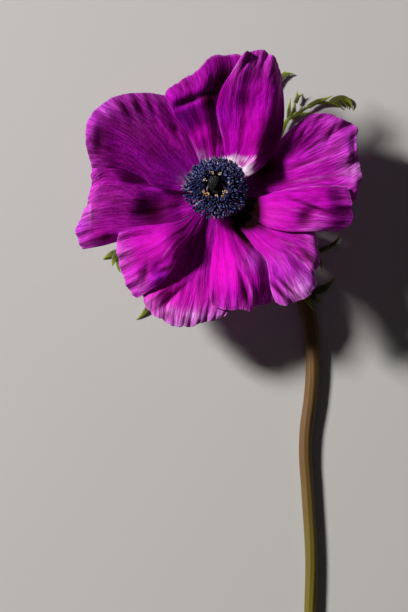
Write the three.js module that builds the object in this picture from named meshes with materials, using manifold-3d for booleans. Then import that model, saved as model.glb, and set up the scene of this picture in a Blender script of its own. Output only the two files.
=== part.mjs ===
// A cut poppy anemone (Anemone coronaria) lying on a table with its flower face up.
// Millimetres. The stem lies along Y with the flower at its +Y end, and +Z is up from the table.
// Every piece is laid out from the middle of the flower, and the whole is moved at the end so
// that its origin is on the table, under the middle of its box.
import * as THREE from "three";
import { mergeVertices } from "three/addons/utils/BufferGeometryUtils.js";
import Module from "manifold-3d";

const wasm = await Module();
wasm.setup();

// ---- driving dimensions ----
const HEAD_HEIGHT = 13; // lowest claw of a tepal above the table
const RECEPTACLE_X = 0.3; // where the flower's axis passes through its lowest claws
const RECEPTACLE_Y = -2.6;
const RECEPTACLE_RADIUS = 2.6;
const AXIS_LEAN = THREE.MathUtils.degToRad(18); // lean of the flower's axis towards +Y
const FACE_SLOPE = 0.14; // drop of the ring of tepals for each millimetre along +Y
const SEAT = 0.4; // clearance that a piece keeps from its seat

const CLAW_HALF_ANGLE = THREE.MathUtils.degToRad(25);
const CLAW_RADIUS = (RECEPTACLE_RADIUS + SEAT) / Math.cos(CLAW_HALF_ANGLE);
const CLAW_STEP = 1.0; // height between one layer of claws and the next
const TEPAL_THICKNESS = 0.5;
const TEPAL_ROWS = 11; // facets from claw to rim
const TEPAL_COLUMNS = 10; // facets across
const RISE_RADII = [3, 10, 20, 30, 42]; // stations of each tepal's height profile

const STEM_SIDES = 12;
const STEM_STEPS = 44;
const STEM_END_Y = -150; // the cut end, measured from the middle of the flower
const PEDICEL_RADIUS = 1.9;

const FLORAL = 0xb012a8;
const STALK = 0x6b5a2c;
const LEAF = 0x6f7f2e;
const ANTHER = 0x23264a;
const PISTIL = 0x1c191d;

// ---- shared shapes ----
const axisUp = new THREE.Vector3(0, Math.sin(AXIS_LEAN), Math.cos(AXIS_LEAN));

// Smooth value at x of a curve through the stations, with slopes taken from their neighbours.
function smoothThrough(stations, values, x) {
  const last = stations.length - 1;
  const clamped = Math.min(Math.max(x, stations[0]), stations[last]);
  let i = 0;
  while (i < last - 1 && clamped > stations[i + 1]) i += 1;
  const slopeAt = (k) => {
    const before = Math.max(k - 1, 0);
    const after = Math.min(k + 1, last);
    return (values[after] - values[before]) / (stations[after] - stations[before]);
  };
  const span = stations[i + 1] - stations[i];
  const u = (clamped - stations[i]) / span;
  return (
    (2 * u ** 3 - 3 * u ** 2 + 1) * values[i] +
    (u ** 3 - 2 * u ** 2 + u) * span * slopeAt(i) +
    (3 * u ** 2 - 2 * u ** 3) * values[i + 1] +
    (u ** 3 - u ** 2) * span * slopeAt(i + 1)
  );
}

// Closed tube along a curve: its half width and half height follow the distance u from 0 to 1.
function tube(curve, steps, sides, halfWidth, halfHeight) {
  const positions = [];
  const index = [];
  const up = new THREE.Vector3(0, 0, 1);
  for (let i = 0; i <= steps; i += 1) {
    const u = i / steps;
    const centre = curve.getPointAt(u);
    const along = curve.getTangentAt(u);
    const side = along.clone().cross(up).normalize();
    const top = side.clone().cross(along);
    for (let j = 0; j < sides; j += 1) {
      const angle = (j / sides) * 2 * Math.PI;
      const point = centre
        .clone()
        .addScaledVector(side, Math.sin(angle) * halfWidth(u))
        .addScaledVector(top, -Math.cos(angle) * halfHeight(u));
      positions.push(...point);
    }
  }
  const firstCap = positions.length / 3;
  positions.push(...curve.getPointAt(0), ...curve.getPointAt(1));
  for (let j = 0; j < sides; j += 1) {
    const next = (j + 1) % sides;
    for (let i = 0; i < steps; i += 1) {
      const a = i * sides + j;
      const b = i * sides + next;
      index.push(a, a + sides, b, b, a + sides, b + sides);
    }
    index.push(firstCap, j, next);
    index.push(firstCap + 1, steps * sides + next, steps * sides + j);
  }
  const geometry = new THREE.BufferGeometry();
  geometry.setAttribute("position", new THREE.Float32BufferAttribute(positions, 3));
  geometry.setIndex(index);
  return geometry;
}

// A closed geometry as a solid that can be joined, with shared vertices merged.
function solidOf(geometry) {
  const bare = geometry.clone();
  bare.deleteAttribute("normal");
  bare.deleteAttribute("uv");
  const merged = mergeVertices(bare, 1e-4);
  const corners = merged.index.array;
  const kept = [];
  for (let i = 0; i < corners.length; i += 3) {
    const [a, b, c] = corners.slice(i, i + 3);
    if (a !== b && b !== c && c !== a) kept.push(a, b, c);
  }
  return new wasm.Manifold(
    new wasm.Mesh({
      numProp: 3,
      vertProperties: merged.attributes.position.array,
      triVerts: new Uint32Array(kept),
    }),
  );
}

function joined(geometries) {
  const whole = geometries.map(solidOf).reduce((sum, piece) => sum.add(piece));
  const mesh = whole.getMesh();
  const geometry = new THREE.BufferGeometry();
  geometry.setAttribute("position", new THREE.BufferAttribute(mesh.vertProperties, 3));
  geometry.setIndex(new THREE.BufferAttribute(mesh.triVerts, 1));
  return geometry;
}

const flower = new THREE.Group();

function addPiece(name, geometry, color, roughness) {
  geometry.computeVertexNormals();
  const material = new THREE.MeshStandardMaterial({ color, roughness, metalness: 0 });
  const mesh = new THREE.Mesh(geometry, material);
  mesh.name = name;
  flower.add(mesh);
  return mesh;
}

// ---- stem: scape, bent neck and receptacle, one growth ----
// It lies on the table, bends up under the flower and ends in the column that carries the rest.
function onAxis(height) {
  const along = height / axisUp.z;
  return new THREE.Vector3(
    RECEPTACLE_X + axisUp.x * along,
    RECEPTACLE_Y + axisUp.y * along,
    HEAD_HEIGHT + height,
  );
}

const COLUMN_TOP = 8.4; // top of the receptacle above the lowest claws
const stemRoute = new THREE.CatmullRomCurve3(
  [
    new THREE.Vector3(28.6, STEM_END_Y, 1.85),
    new THREE.Vector3(29.1, -128.5, 1.85),
    new THREE.Vector3(29.4, -111.2, 1.9),
    new THREE.Vector3(28.3, -92, 2.0),
    new THREE.Vector3(27.6, -81, 2.02),
    new THREE.Vector3(27.9, -72.6, 2.1),
    new THREE.Vector3(29.2, -63, 2.2),
    new THREE.Vector3(29.8, -53.3, 2.2),
    new THREE.Vector3(29.4, -43.6, 2.2),
    new THREE.Vector3(27.9, -35.9, 2.25),
    new THREE.Vector3(25, -29.6, 2.3),
    new THREE.Vector3(19.7, -23.4, 2.5),
    new THREE.Vector3(13.6, -17.2, 2.9),
    new THREE.Vector3(8.2, -11.6, 3.9),
    new THREE.Vector3(3.9, -7.6, 5.9),
    new THREE.Vector3(1.5, -5.2, 8.6),
    onAxis(-1.4),
    onAxis(3),
    onAxis(COLUMN_TOP),
  ],
  false,
  "centripetal",
);
const STEM_STATIONS = [0, 0.14, 0.42, 0.62, 0.8, 0.93, 0.955, 0.985, 1];
const STEM_RADII = [1.85, 1.85, 2.02, 2.2, 2.2, PEDICEL_RADIUS, 2.5, 2.6, 1.9];
const stemRadius = (u) => smoothThrough(STEM_STATIONS, STEM_RADII, u);
addPiece("flower_stem", tube(stemRoute, STEM_STEPS, STEM_SIDES, stemRadius, stemRadius), STALK, 0.6);

// ---- bracts: the involucre of three finely cut leaves on the stem below the flower ----
// A lobe is a thin tapering blade: a route, its half width at the base and how blunt its tip is.
const BLADE_THICKNESS = 0.5;
const BLADE_SIDES = 4;

function blade(route, halfWidth, tipWidth = 0.35) {
  const points = route.map(([x, y, z]) => new THREE.Vector3(x, y, z));
  const curve = new THREE.CatmullRomCurve3(points, false, "centripetal");
  const steps = Math.max(3, Math.round(curve.getLength() / 3));
  const half = (u) => {
    const belly = 0.75 + 0.5 * Math.sin(Math.PI * Math.min(1, 0.25 + u));
    const taper = u < 0.6 ? 1 : 1 - (u - 0.6) / 0.4;
    return Math.max(tipWidth * 0.5, halfWidth * belly * (0.25 + 0.75 * taper));
  };
  return tube(curve, steps, BLADE_SIDES, half, () => BLADE_THICKNESS / 2);
}

const BRACTS = {
  bract_upper: [
    [[[8.4, -7.9, 4.6], [11.2, -2, 4.0], [15.5, 7, 3.0], [19.7, 16.2, 2.0], [22.7, 22.6, 1.6]], 0.9],
    [[[22.7, 22.4, 1.6], [23.8, 25, 1.6], [25, 27.3, 1.6], [25, 30, 1.2]], 0.65],
    [[[24.6, 26.7, 1.6], [25.3, 27.8, 1.9], [26.5, 29.2, 2.1]], 0.4],
    [[[22.4, 22.2, 1.6], [22.3, 25, 1.4], [22.8, 27.8, 1.0]], 0.5],
    [[[22.6, 21.8, 1.6], [25.5, 23.7, 1.7], [30.9, 26, 1.7], [36.4, 26.3, 1.2], [39.4, 24.2, 0.25]], 0.65],
    [[[31.5, 26.1, 1.7], [34.3, 27.7, 2.0], [36, 28.7, 2.2]], 0.5],
    [[[35.2, 26.4, 1.3], [37.7, 27.4, 1.4], [40.2, 27.3, 1.1], [42, 24.2, 0.25]], 0.9],
    [[[22.6, 21.6, 1.6], [25.8, 22.4, 1.9], [29.3, 23.5, 2.1]], 0.6],
    [[[14.2, 4, 3.3], [16.2, 14, 2.2], [17.6, 24.5, 1.2], [19.6, 33, 0.8], [23.7, 35.5, 0.25]], 0.75],
    [[[19.6, 33, 0.8], [20.3, 34.6, 1.1], [21.6, 35.9, 1.2]], 0.4],
    [[[12.3, 0, 3.8], [20, 3.5, 2.6], [28, 7.5, 1.6], [34, 10, 0.5]], 0.9],
  ],
  bract_left: [
    [[[3.7, -11.5, 4.6], [-2, -14, 3.8], [-10, -16.4, 2.8], [-19, -17.6, 1.8], [-29.4, -18.9, 1.3]], 0.9],
    [[[-28.6, -18.8, 1.3], [-32, -19.8, 1], [-34.1, -21.1, 0.25]], 0.6],
    [[[-29, -18.9, 1.3], [-30.5, -20.9, 1.5], [-31.2, -23.3, 1.6]], 0.65],
    [[[-27.4, -18.6, 1.4], [-29.2, -21.6, 1.3], [-29.3, -24.1, 1], [-28.6, -25.2, 0.8]], 0.55],
    [[[-6, -15.3, 3.3], [-12.4, -23.5, 2.2], [-17, -30.5, 1.4], [-21.6, -37.4, 0.7], [-23.9, -39.5, 0.25]], 0.95],
    [[[-17.8, -31.6, 1.3], [-20.5, -33.3, 1.5], [-21.2, -36, 1.4]], 0.5],
    [[[-9, -16.1, 2.9], [-17, -11, 2.2], [-26, -6, 1.2], [-32, -3, 0.4]], 0.9],
    [[[-14, -27, 1.8], [-12, -32, 1.6], [-9, -36, 0.7]], 0.7],
  ],
  bract_right: [
    [[[12.6, -11.2, 4.6], [18, -13.2, 3.8], [25, -17, 2.6], [29.8, -19.4, 2.0], [31.6, -19, 2.0]], 0.9],
    [[[30.3, -19.1, 2.0], [33.7, -17.8, 1.9], [36.1, -16.9, 1.6], [38.5, -16.7, 1.4]], 0.55],
    [[[34.9, -17.2, 1.8], [36.8, -15.9, 1.5], [37.8, -14.4, 1], [38, -13.1, 0.25]], 0.4],
    [[[28.8, -18.8, 2.1], [31.7, -21.4, 1.8], [32.6, -24.8, 0.9]], 0.5],
    [[[16.4, -13.1, 4.0], [23.4, -20.6, 2.9], [28.5, -27.3, 2.1], [30.2, -31, 1.7]], 0.8],
    [[[29.8, -30.8, 1.7], [33, -30, 1.5], [35, -28.5, 1.1], [36.8, -26.4, 0.25]], 0.75],
    [[[30, -30.9, 1.7], [32.3, -31.2, 1.3], [34.5, -30.5, 1]], 0.4],
    [[[29.4, -29.6, 1.8], [30.3, -33.1, 2.2], [33, -34.4, 1.6]], 0.7],
    [[[28.9, -27.4, 2.1], [28.6, -30, 4.6], [27.9, -33.6, 5.8], [30.4, -37, 4.8]], 0.8],
    [[[28.6, -30.6, 4.9], [27.5, -33, 6.2], [29.7, -35, 6.5]], 0.5],
    [[[18, -13.6, 3.8], [24, -9.5, 2.6], [30, -6, 1.3], [35, -4.5, 0.4]], 0.8],
  ],
};
for (const [name, lobes] of Object.entries(BRACTS)) {
  addPiece(name, joined(lobes.map(([route, halfWidth]) => blade(route, halfWidth))), LEAF, 0.6);
}

// ---- tepals ----
// Each has its heading from the axis, the layer of its claw, its outline seen from above (left
// and right margins from the claw outwards, as seen from the axis, and the rim between them),
// its height over the lowest claw at RISE_RADII, and its folds: a ridge or a dent from one point
// to another, with its width and its height.
const TEPALS = [
  {
    name: "tepal_top_left",
    heading: 104,
    layer: 2,
    left: [[-4.6, 8], [-8.5, 16.8], [-12.2, 21.7], [-13.2, 24.6], [-15, 27.2]],
    rim: [[-14.1, 29.6], [-9.8, 32.4], [-4.9, 35.5], [-1.2, 39.4], [2.5, 39.6], [6.8, 40.1]],
    right: [[3, 9], [5, 20], [6.5, 28], [9.5, 34], [9, 38]],
    rise: [2, 4.8, 10.4, 18.5, 26],
    folds: [[-1, 28, 4, 33, 3.2, -2.4], [-2, 12, -2, 18, 2.4, 0.8]],
  },
  {
    name: "tepal_top",
    heading: 66,
    layer: 3,
    left: [[2.4, 8], [2.6, 13], [0.9, 19.9], [0.4, 24.1], [1.9, 29.6], [4.5, 33], [7, 36.2]],
    rim: [[7.8, 39], [9.8, 40.4], [13.8, 41], [17.2, 39.4], [19, 36.4]],
    right: [[8, 2.6], [12.4, 5], [15.8, 8], [18.8, 12.6], [20.4, 17.8], [20.8, 24], [20.2, 31.5]],
    rise: [3, 5.8, 12, 20, 31],
    folds: [[9.8, 16, 11, 32, 3.6, -2], [14.5, 12, 16.4, 26, 3.2, 1.6], [21.4, 14, 21.6, 33, 3, -4.5]],
  },
  {
    name: "tepal_right_upper",
    heading: 17,
    layer: 0,
    left: [[7, 5.6], [13, 9], [18.6, 12], [22.2, 16], [25.7, 19.9], [29.4, 22.3]],
    rim: [[32.5, 22.6], [36.2, 21.7], [42.6, 18.3], [42.6, 12.4], [44.1, 5], [43.2, -1]],
    right: [[11, -2.8], [20, -4.6], [32, -6], [39, -5.4], [42.3, -3.4]],
    rise: [0, 1.2, 3.6, 8.5, 12],
    folds: [[14, 4, 28, 8, 4, -0.8], [38, 3, 42, 16, 3, 0.8]],
  },
  {
    name: "tepal_right",
    heading: -13,
    layer: 3,
    left: [[9, -2.6], [14.2, -2.3], [18.4, -1], [23.9, 0], [31.3, 0.6], [39.2, 0.6]],
    rim: [[40.6, -1.8], [41.2, -6], [41.4, -9.8], [39.2, -12]],
    right: [[9.5, -7.4], [13.5, -10.4], [17.2, -12.2], [22.7, -13.2], [30, -13.2], [36.8, -12.9]],
    rise: [3, 6, 11.6, 16.5, 18.5],
    folds: [[28.5, -7.5, 31, -10.5, 2.6, -1.8], [42, -2, 42, -12, 4.5, -5]],
  },
  {
    name: "tepal_right_lower",
    heading: -44,
    layer: 2,
    left: [[9, -6.6], [16, -9.4], [22, -10.4], [27, -10.8], [30, -12.6]],
    rim: [[30.8, -17], [31.3, -23], [29.9, -25.6], [30.3, -29.1], [28, -32.4], [21.5, -35.2]],
    right: [[4.6, -9], [8, -12.6], [11.7, -17.5], [15.3, -21.8], [16.6, -30], [18.2, -34.4]],
    rise: [2, 5, 10.5, 14.5, 16.5],
    folds: [[20, -18, 29, -26, 1.4, 1.1], [17, -21, 24, -33, 1.5, -0.8], [31, -15, 31, -23, 2, -1.2]],
  },
  {
    name: "tepal_bottom_right",
    heading: -76,
    layer: 1,
    left: [[6.4, -9.6], [11, -15], [17, -21], [19.4, -27], [19, -33]],
    rim: [[16.9, -34.6], [12.3, -35.4], [10.6, -37], [9, -36.6], [3.1, -36.6], [-0.4, -35.4]],
    right: [[0.5, -8], [0.3, -13], [-0.9, -19.9], [-1.5, -26.1], [-1.8, -32.2]],
    rise: [1, 3.4, 7.6, 11, 10.6],
    folds: [[5, -18, 6, -33, 4, 1.5], [6.2, -26.1, 10.4, -37, 1.3, -1.2], [19.5, -24, 19.5, -34, 4, -2]],
  },
  {
    name: "tepal_bottom_left",
    heading: -102,
    layer: 0,
    left: [[1.8, -9], [3, -16], [4, -24], [5, -31], [4.4, -36], [3.2, -38.6]],
    rim: [[-3.6, -40.5], [-8.5, -41.7], [-12.2, -41.4], [-17.1, -38.9], [-20.6, -36]],
    right: [[-5, -9.5], [-12, -16.5], [-18, -23.5], [-21.4, -29], [-21.4, -33.4]],
    rise: [0, 1.4, 3.2, 6.4, 8.5],
    folds: [[-13, -25, -18, -34, 1.4, 1.3], [-9, -25, -13, -34, 1.6, -0.8]],
  },
  {
    name: "tepal_left_lower",
    heading: -135,
    layer: 1,
    left: [[-3.6, -8.4], [-6.9, -14.6], [-9.5, -18.1], [-11.7, -23.4], [-15.4, -28], [-21.6, -31.8]],
    rim: [[-23.8, -32.8], [-26.3, -29.7], [-28.7, -23], [-29.6, -16.6]],
    right: [[-5.6, -6.2], [-9.6, -9.4], [-15.9, -10.8], [-23.2, -11.4], [-28.4, -12.9]],
    rise: [1, 4.2, 9.5, 12.4, 12.6],
    folds: [[-11, -12, -15, -19, 4.2, 3.2], [-15, -23, -19, -26, 2.4, -1.6]],
  },
  {
    name: "tepal_left",
    heading: -167,
    layer: 0,
    left: [[-9, -8.6], [-18, -14], [-25, -15.6], [-29.5, -13.8], [-34, -15], [-39.6, -18.2]],
    rim: [[-41.3, -15.5], [-41.6, -12], [-40, -8.2], [-38.3, -4], [-37.3, 1]],
    right: [[-9, 1.2], [-18, 4.4], [-26, 8], [-33, 9.4], [-37, 6.4]],
    rise: [0, 2.2, 5.4, 9, 12.6],
    folds: [[-20, -6.5, -13, -6, 4.6, -3.2], [-25, -7, -22, -1.5, 2.6, 0.8]],
  },
  {
    name: "tepal_left_upper",
    heading: 149,
    layer: 1,
    left: [[-8, -1], [-17.7, 0.3], [-22, 3.3], [-28.1, 5.6], [-36.8, 5.8]],
    rim: [[-38.2, 10.7], [-38.7, 15.6], [-38, 20.4], [-33, 25.7], [-28.1, 27.8], [-22, 28.6], [-16, 28]],
    right: [[-2.4, 8], [-5, 16.6], [-8.5, 22.6], [-11, 27.4]],
    rise: [1, 4.1, 9.2, 14.6, 23],
    folds: [[-32.8, 19, -33, 12, 3, -1.8], [-26, 25, -20, 15, 2, 0.6]],
  },
];

// Distance from a point to the line between a fold's two ends.
function distanceToFold(x, y, x0, y0, x1, y1) {
  const dx = x1 - x0;
  const dy = y1 - y0;
  const u = ((x - x0) * dx + (y - y0) * dy) / (dx * dx + dy * dy);
  const nearest = Math.min(Math.max(u, 0), 1);
  return Math.hypot(x - x0 - nearest * dx, y - y0 - nearest * dy);
}

function tepalHeight(tepal, x, y) {
  const radius = Math.hypot(x - RECEPTACLE_X, y - RECEPTACLE_Y);
  let height = smoothThrough(RISE_RADII, tepal.rise, radius) - FACE_SLOPE * (y - RECEPTACLE_Y);
  for (const [x0, y0, x1, y1, width, rise] of tepal.folds) {
    height += rise * Math.exp(-((distanceToFold(x, y, x0, y0, x1, y1) / width) ** 2));
  }
  return HEAD_HEIGHT + height;
}

// Where the claw joins the receptacle: the two ends of its short base, on the leaning axis.
function clawEnd(tepal, turn) {
  const angle = THREE.MathUtils.degToRad(tepal.heading) + turn;
  const shift = Math.tan(AXIS_LEAN) * tepal.layer * CLAW_STEP;
  return new THREE.Vector2(
    RECEPTACLE_X + CLAW_RADIUS * Math.cos(angle),
    RECEPTACLE_Y + shift + CLAW_RADIUS * Math.sin(angle),
  );
}

// A tepal seen from above is a patch between its claw, its two margins and its rim.
function tepalPatch(tepal) {
  const plan = (pairs) => pairs.map(([x, y]) => new THREE.Vector2(x, y));
  const leftClaw = clawEnd(tepal, CLAW_HALF_ANGLE);
  const rightClaw = clawEnd(tepal, -CLAW_HALF_ANGLE);
  const left = new THREE.SplineCurve([leftClaw, ...plan(tepal.left)]);
  const right = new THREE.SplineCurve([rightClaw, ...plan(tepal.right)]);
  const leftCorner = left.getPointAt(1);
  const rightCorner = right.getPointAt(1);
  const rim = new THREE.SplineCurve([leftCorner, ...plan(tepal.rim), rightCorner]);
  return (s, t) => {
    const across = left.getPointAt(s).lerp(right.getPointAt(s), t);
    const along = leftClaw.clone().lerp(rightClaw, t).lerp(rim.getPointAt(t), s);
    const corners = leftClaw.clone().lerp(rightClaw, t);
    corners.lerp(leftCorner.clone().lerp(rightCorner, t), s);
    return across.add(along).sub(corners);
  };
}

function tepalGeometry(tepal) {
  const patch = tepalPatch(tepal);
  const positions = [];
  const index = [];
  const width = TEPAL_COLUMNS + 1;
  const layerSize = (TEPAL_ROWS + 1) * width;
  for (const offset of [TEPAL_THICKNESS / 2, -TEPAL_THICKNESS / 2]) {
    for (let i = 0; i <= TEPAL_ROWS; i += 1) {
      for (let j = 0; j <= TEPAL_COLUMNS; j += 1) {
        const { x, y } = patch(i / TEPAL_ROWS, j / TEPAL_COLUMNS);
        positions.push(x, y, tepalHeight(tepal, x, y) + offset);
      }
    }
  }
  for (let i = 0; i < TEPAL_ROWS; i += 1) {
    for (let j = 0; j < TEPAL_COLUMNS; j += 1) {
      const a = i * width + j;
      const b = a + width;
      index.push(a, a + 1, b, b, a + 1, b + 1);
      const c = a + layerSize;
      const d = b + layerSize;
      index.push(c, d, c + 1, d, d + 1, c + 1);
    }
  }
  const edge = [];
  for (let j = 0; j < TEPAL_COLUMNS; j += 1) edge.push(j);
  for (let i = 0; i < TEPAL_ROWS; i += 1) edge.push(i * width + TEPAL_COLUMNS);
  for (let j = TEPAL_COLUMNS; j > 0; j -= 1) edge.push(TEPAL_ROWS * width + j);
  for (let i = TEPAL_ROWS; i > 0; i -= 1) edge.push(i * width);
  edge.forEach((a, k) => {
    const b = edge[(k + 1) % edge.length];
    index.push(a, a + layerSize, b, b, a + layerSize, b + layerSize);
  });
  const geometry = new THREE.BufferGeometry();
  geometry.setAttribute("position", new THREE.Float32BufferAttribute(positions, 3));
  geometry.setIndex(index);
  return geometry;
}

for (const tepal of TEPALS) addPiece(tepal.name, tepalGeometry(tepal), FLORAL, 0.7);

// ---- stamens and pistil, round the leaning axis ----
// Heights here are above the lowest claws, along the axis.
function placedOnAxis(geometry) {
  return geometry
    .rotateX(-AXIS_LEAN)
    .translate(RECEPTACLE_X, RECEPTACLE_Y, HEAD_HEIGHT);
}

// A whorl is a thin collar round the receptacle that carries filaments, each with its anther.
const COLLAR_INNER = RECEPTACLE_RADIUS + SEAT;
const COLLAR_OUTER = 3.6;
const COLLAR_HEIGHT = 0.5;
const COLLAR_SIDES = 24;
const ANTHER_RADIUS = 0.55;
const ANTHER_LENGTH = 2.0;
const FILAMENT_RADIUS = 0.22;
const STAMEN_SIDES = 4;

function collar(height) {
  const profile = [
    new THREE.Vector2(COLLAR_INNER, height),
    new THREE.Vector2(COLLAR_OUTER, height),
    new THREE.Vector2(COLLAR_OUTER, height + COLLAR_HEIGHT),
    new THREE.Vector2(COLLAR_INNER, height + COLLAR_HEIGHT),
    new THREE.Vector2(COLLAR_INNER, height),
  ];
  return new THREE.LatheGeometry(profile, COLLAR_SIDES).rotateX(Math.PI / 2);
}

function stamen(collarHeight, reach, tipHeight, angle) {
  const foot = new THREE.Vector3(COLLAR_OUTER - 0.3, 0, collarHeight + COLLAR_HEIGHT / 2);
  const tip = new THREE.Vector3(reach, 0, tipHeight);
  const length = foot.distanceTo(tip);
  const profile = [
    new THREE.Vector2(0, 0),
    new THREE.Vector2(FILAMENT_RADIUS, 0),
    new THREE.Vector2(FILAMENT_RADIUS, length - ANTHER_LENGTH),
    new THREE.Vector2(ANTHER_RADIUS, length - 0.6 * ANTHER_LENGTH),
    new THREE.Vector2(0, length),
  ];
  const geometry = new THREE.LatheGeometry(profile, STAMEN_SIDES);
  const direction = tip.clone().sub(foot).normalize();
  const turn = new THREE.Quaternion().setFromUnitVectors(new THREE.Vector3(0, 1, 0), direction);
  return geometry.applyQuaternion(turn).translate(foot.x, foot.y, foot.z).rotateZ(angle);
}

const WHORLS = [
  { name: "stamens_outer", count: 26, collar: 4.9, reach: 9.2, tip: 9.4 },
  { name: "stamens_middle", count: 20, collar: 6.1, reach: 7.1, tip: 10.8 },
  { name: "stamens_inner", count: 14, collar: 7.3, reach: 4.9, tip: 11.8 },
];
for (const whorl of WHORLS) {
  const shapes = [collar(whorl.collar)];
  for (let k = 0; k < whorl.count; k += 1) {
    const angle = ((k + 0.5) / whorl.count) * 2 * Math.PI;
    shapes.push(stamen(whorl.collar, whorl.reach, whorl.tip, angle));
  }
  addPiece(whorl.name, placedOnAxis(joined(shapes)), ANTHER, 0.8);
}

// The pistils stand packed together as one dome on the end of the receptacle.
const DOME_RADIUS = 2.5;
const DOME_HEIGHT = 3.6;
const DOME_SIDES = 16;
const DOME_RINGS = 6;
const domeFoot = COLUMN_TOP / axisUp.z + SEAT;
const domeProfile = [new THREE.Vector2(0, domeFoot)];
for (let i = 0; i <= DOME_RINGS; i += 1) {
  const angle = (i / DOME_RINGS) * (Math.PI / 2);
  const radius = i === DOME_RINGS ? 0 : DOME_RADIUS * Math.cos(angle);
  domeProfile.push(new THREE.Vector2(radius, domeFoot + DOME_HEIGHT * Math.sin(angle)));
}
const dome = new THREE.LatheGeometry(domeProfile, DOME_SIDES).rotateX(Math.PI / 2);
addPiece("pistil_head", placedOnAxis(dome), PISTIL, 0.9);

// ---- origin: on the table, under the middle of the flower's box ----
const box = new THREE.Box3().setFromObject(flower);
const middle = box.getCenter(new THREE.Vector3());
flower.position.set(-middle.x, -middle.y, -box.min.z);

export default flower;
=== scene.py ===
"""A cut poppy anemone lying face up on a table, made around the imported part."""

import bpy
import numpy as np
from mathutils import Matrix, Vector


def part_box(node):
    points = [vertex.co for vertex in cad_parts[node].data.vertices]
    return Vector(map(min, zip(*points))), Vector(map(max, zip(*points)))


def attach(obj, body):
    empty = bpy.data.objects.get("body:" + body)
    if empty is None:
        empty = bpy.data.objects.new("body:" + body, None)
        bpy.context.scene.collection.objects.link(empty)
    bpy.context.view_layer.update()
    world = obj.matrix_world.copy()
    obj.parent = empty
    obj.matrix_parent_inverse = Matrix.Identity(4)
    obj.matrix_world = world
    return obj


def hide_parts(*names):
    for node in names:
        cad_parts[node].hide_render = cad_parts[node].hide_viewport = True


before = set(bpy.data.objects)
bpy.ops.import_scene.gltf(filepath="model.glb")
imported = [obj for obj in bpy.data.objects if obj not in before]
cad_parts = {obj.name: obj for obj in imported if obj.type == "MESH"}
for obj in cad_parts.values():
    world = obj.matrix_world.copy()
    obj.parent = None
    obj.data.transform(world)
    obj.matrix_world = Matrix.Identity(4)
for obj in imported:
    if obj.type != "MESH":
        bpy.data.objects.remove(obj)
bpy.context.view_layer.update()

# ---------------------------------------------------------------------------------------------
# Stem. The scape of the anemone: a solid, slightly downy green stalk, flushed red-brown by the
# sun in its upper part. It lies on the table, bends up under the flower and widens into the
# receptacle that carries everything else. It ends in a clean cut.
# ---------------------------------------------------------------------------------------------
MM = 0.001
RECEPTACLE_X, RECEPTACLE_Y = 0.3, -2.6  # foot of the flower's axis, from the flower's middle
HEAD_HEIGHT = 13.0  # lowest claw of a tepal above the table
AXIS_LEAN = np.radians(18)  # lean of that axis towards +Y
COLUMN_TOP = 8.4  # top of the receptacle above the lowest claws
STEM_END_Y = -150.0  # the cut end
CURVE_STEPS = 80  # points worked out between two given points of a curve

pistil_low, pistil_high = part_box("pistil_head")
stem_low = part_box("flower_stem")[0]
FLOWER_MIDDLE = np.array(
    [(pistil_low[0] + pistil_high[0]) / 2 - RECEPTACLE_X * MM, stem_low[1] - STEM_END_Y * MM, 0.0]
)


def linear(hex_colour):
    """An sRGB hex value as a linear colour with alpha 1."""
    parts = [int(hex_colour[i : i + 2], 16) / 255 for i in (1, 3, 5)]
    return [c / 12.92 if c <= 0.04045 else ((c + 0.055) / 1.055) ** 2.4 for c in parts] + [1.0]


def add(tree, kind, links=None, **settings):
    """A node with its settings, its inputs set to values or linked from nodes or sockets."""
    made = tree.nodes.new(kind)
    for name, value in settings.items():
        setattr(made, name, value)
    for name, value in (links or {}).items():
        if isinstance(value, bpy.types.Node):  # a node stands for its first output in use
            value = next(socket for socket in value.outputs if socket.enabled)
        if isinstance(value, bpy.types.NodeSocket):
            tree.links.new(value, made.inputs[name])
        else:
            made.inputs[name].default_value = value
    return made


def new_material(name):
    """A named material with its tree and an output, and nothing else."""
    material = bpy.data.materials.new(name)
    material.use_nodes = True
    tree = material.node_tree
    tree.nodes.clear()
    return material, tree, tree.nodes.new("ShaderNodeOutputMaterial")


def through(points, steps):
    """Points evenly spaced by length on a smooth curve through the given points."""
    given = np.array(points, float)
    padded = np.vstack([given[:1], given, given[-1:]])
    u = np.linspace(0, len(given) - 1, CURVE_STEPS * (len(given) - 1) + 1)
    i = np.minimum(u.astype(int), len(given) - 2)
    f = (u - i)[:, None]
    before, start, end, after = (padded[i + k] for k in range(4))
    leave, arrive = (end - before) / 2, (after - start) / 2
    dense = (
        (2 * start - 2 * end + leave + arrive) * f**3
        + (3 * end - 3 * start - 2 * leave - arrive) * f**2
        + leave * f
        + start
    )
    steps_between = np.linalg.norm(np.diff(dense, axis=0), axis=1)
    length = np.concatenate([[0], np.cumsum(steps_between)])
    even = np.linspace(0, length[-1], steps + 1)
    return np.column_stack([np.interp(even, length, column) for column in dense.T])


def smooth_through(stations, values, x):
    """Smooth values at x of a curve through the stations, with slopes from their neighbours."""
    stations, values = np.array(stations, float), np.array(values, float)
    last = len(stations) - 1
    before = np.maximum(np.arange(last + 1) - 1, 0)
    after = np.minimum(np.arange(last + 1) + 1, last)
    slopes = (values[after] - values[before]) / (stations[after] - stations[before])
    x = np.clip(x, stations[0], stations[-1])
    i = np.clip(np.searchsorted(stations, x, side="right") - 1, 0, last - 1)
    span = stations[i + 1] - stations[i]
    u = (x - stations[i]) / span
    return (
        (2 * u**3 - 3 * u**2 + 1) * values[i]
        + (u**3 - 2 * u**2 + u) * span * slopes[i]
        + (3 * u**2 - 2 * u**3) * values[i + 1]
        + (u**3 - u**2) * span * slopes[i + 1]
    )


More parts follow.
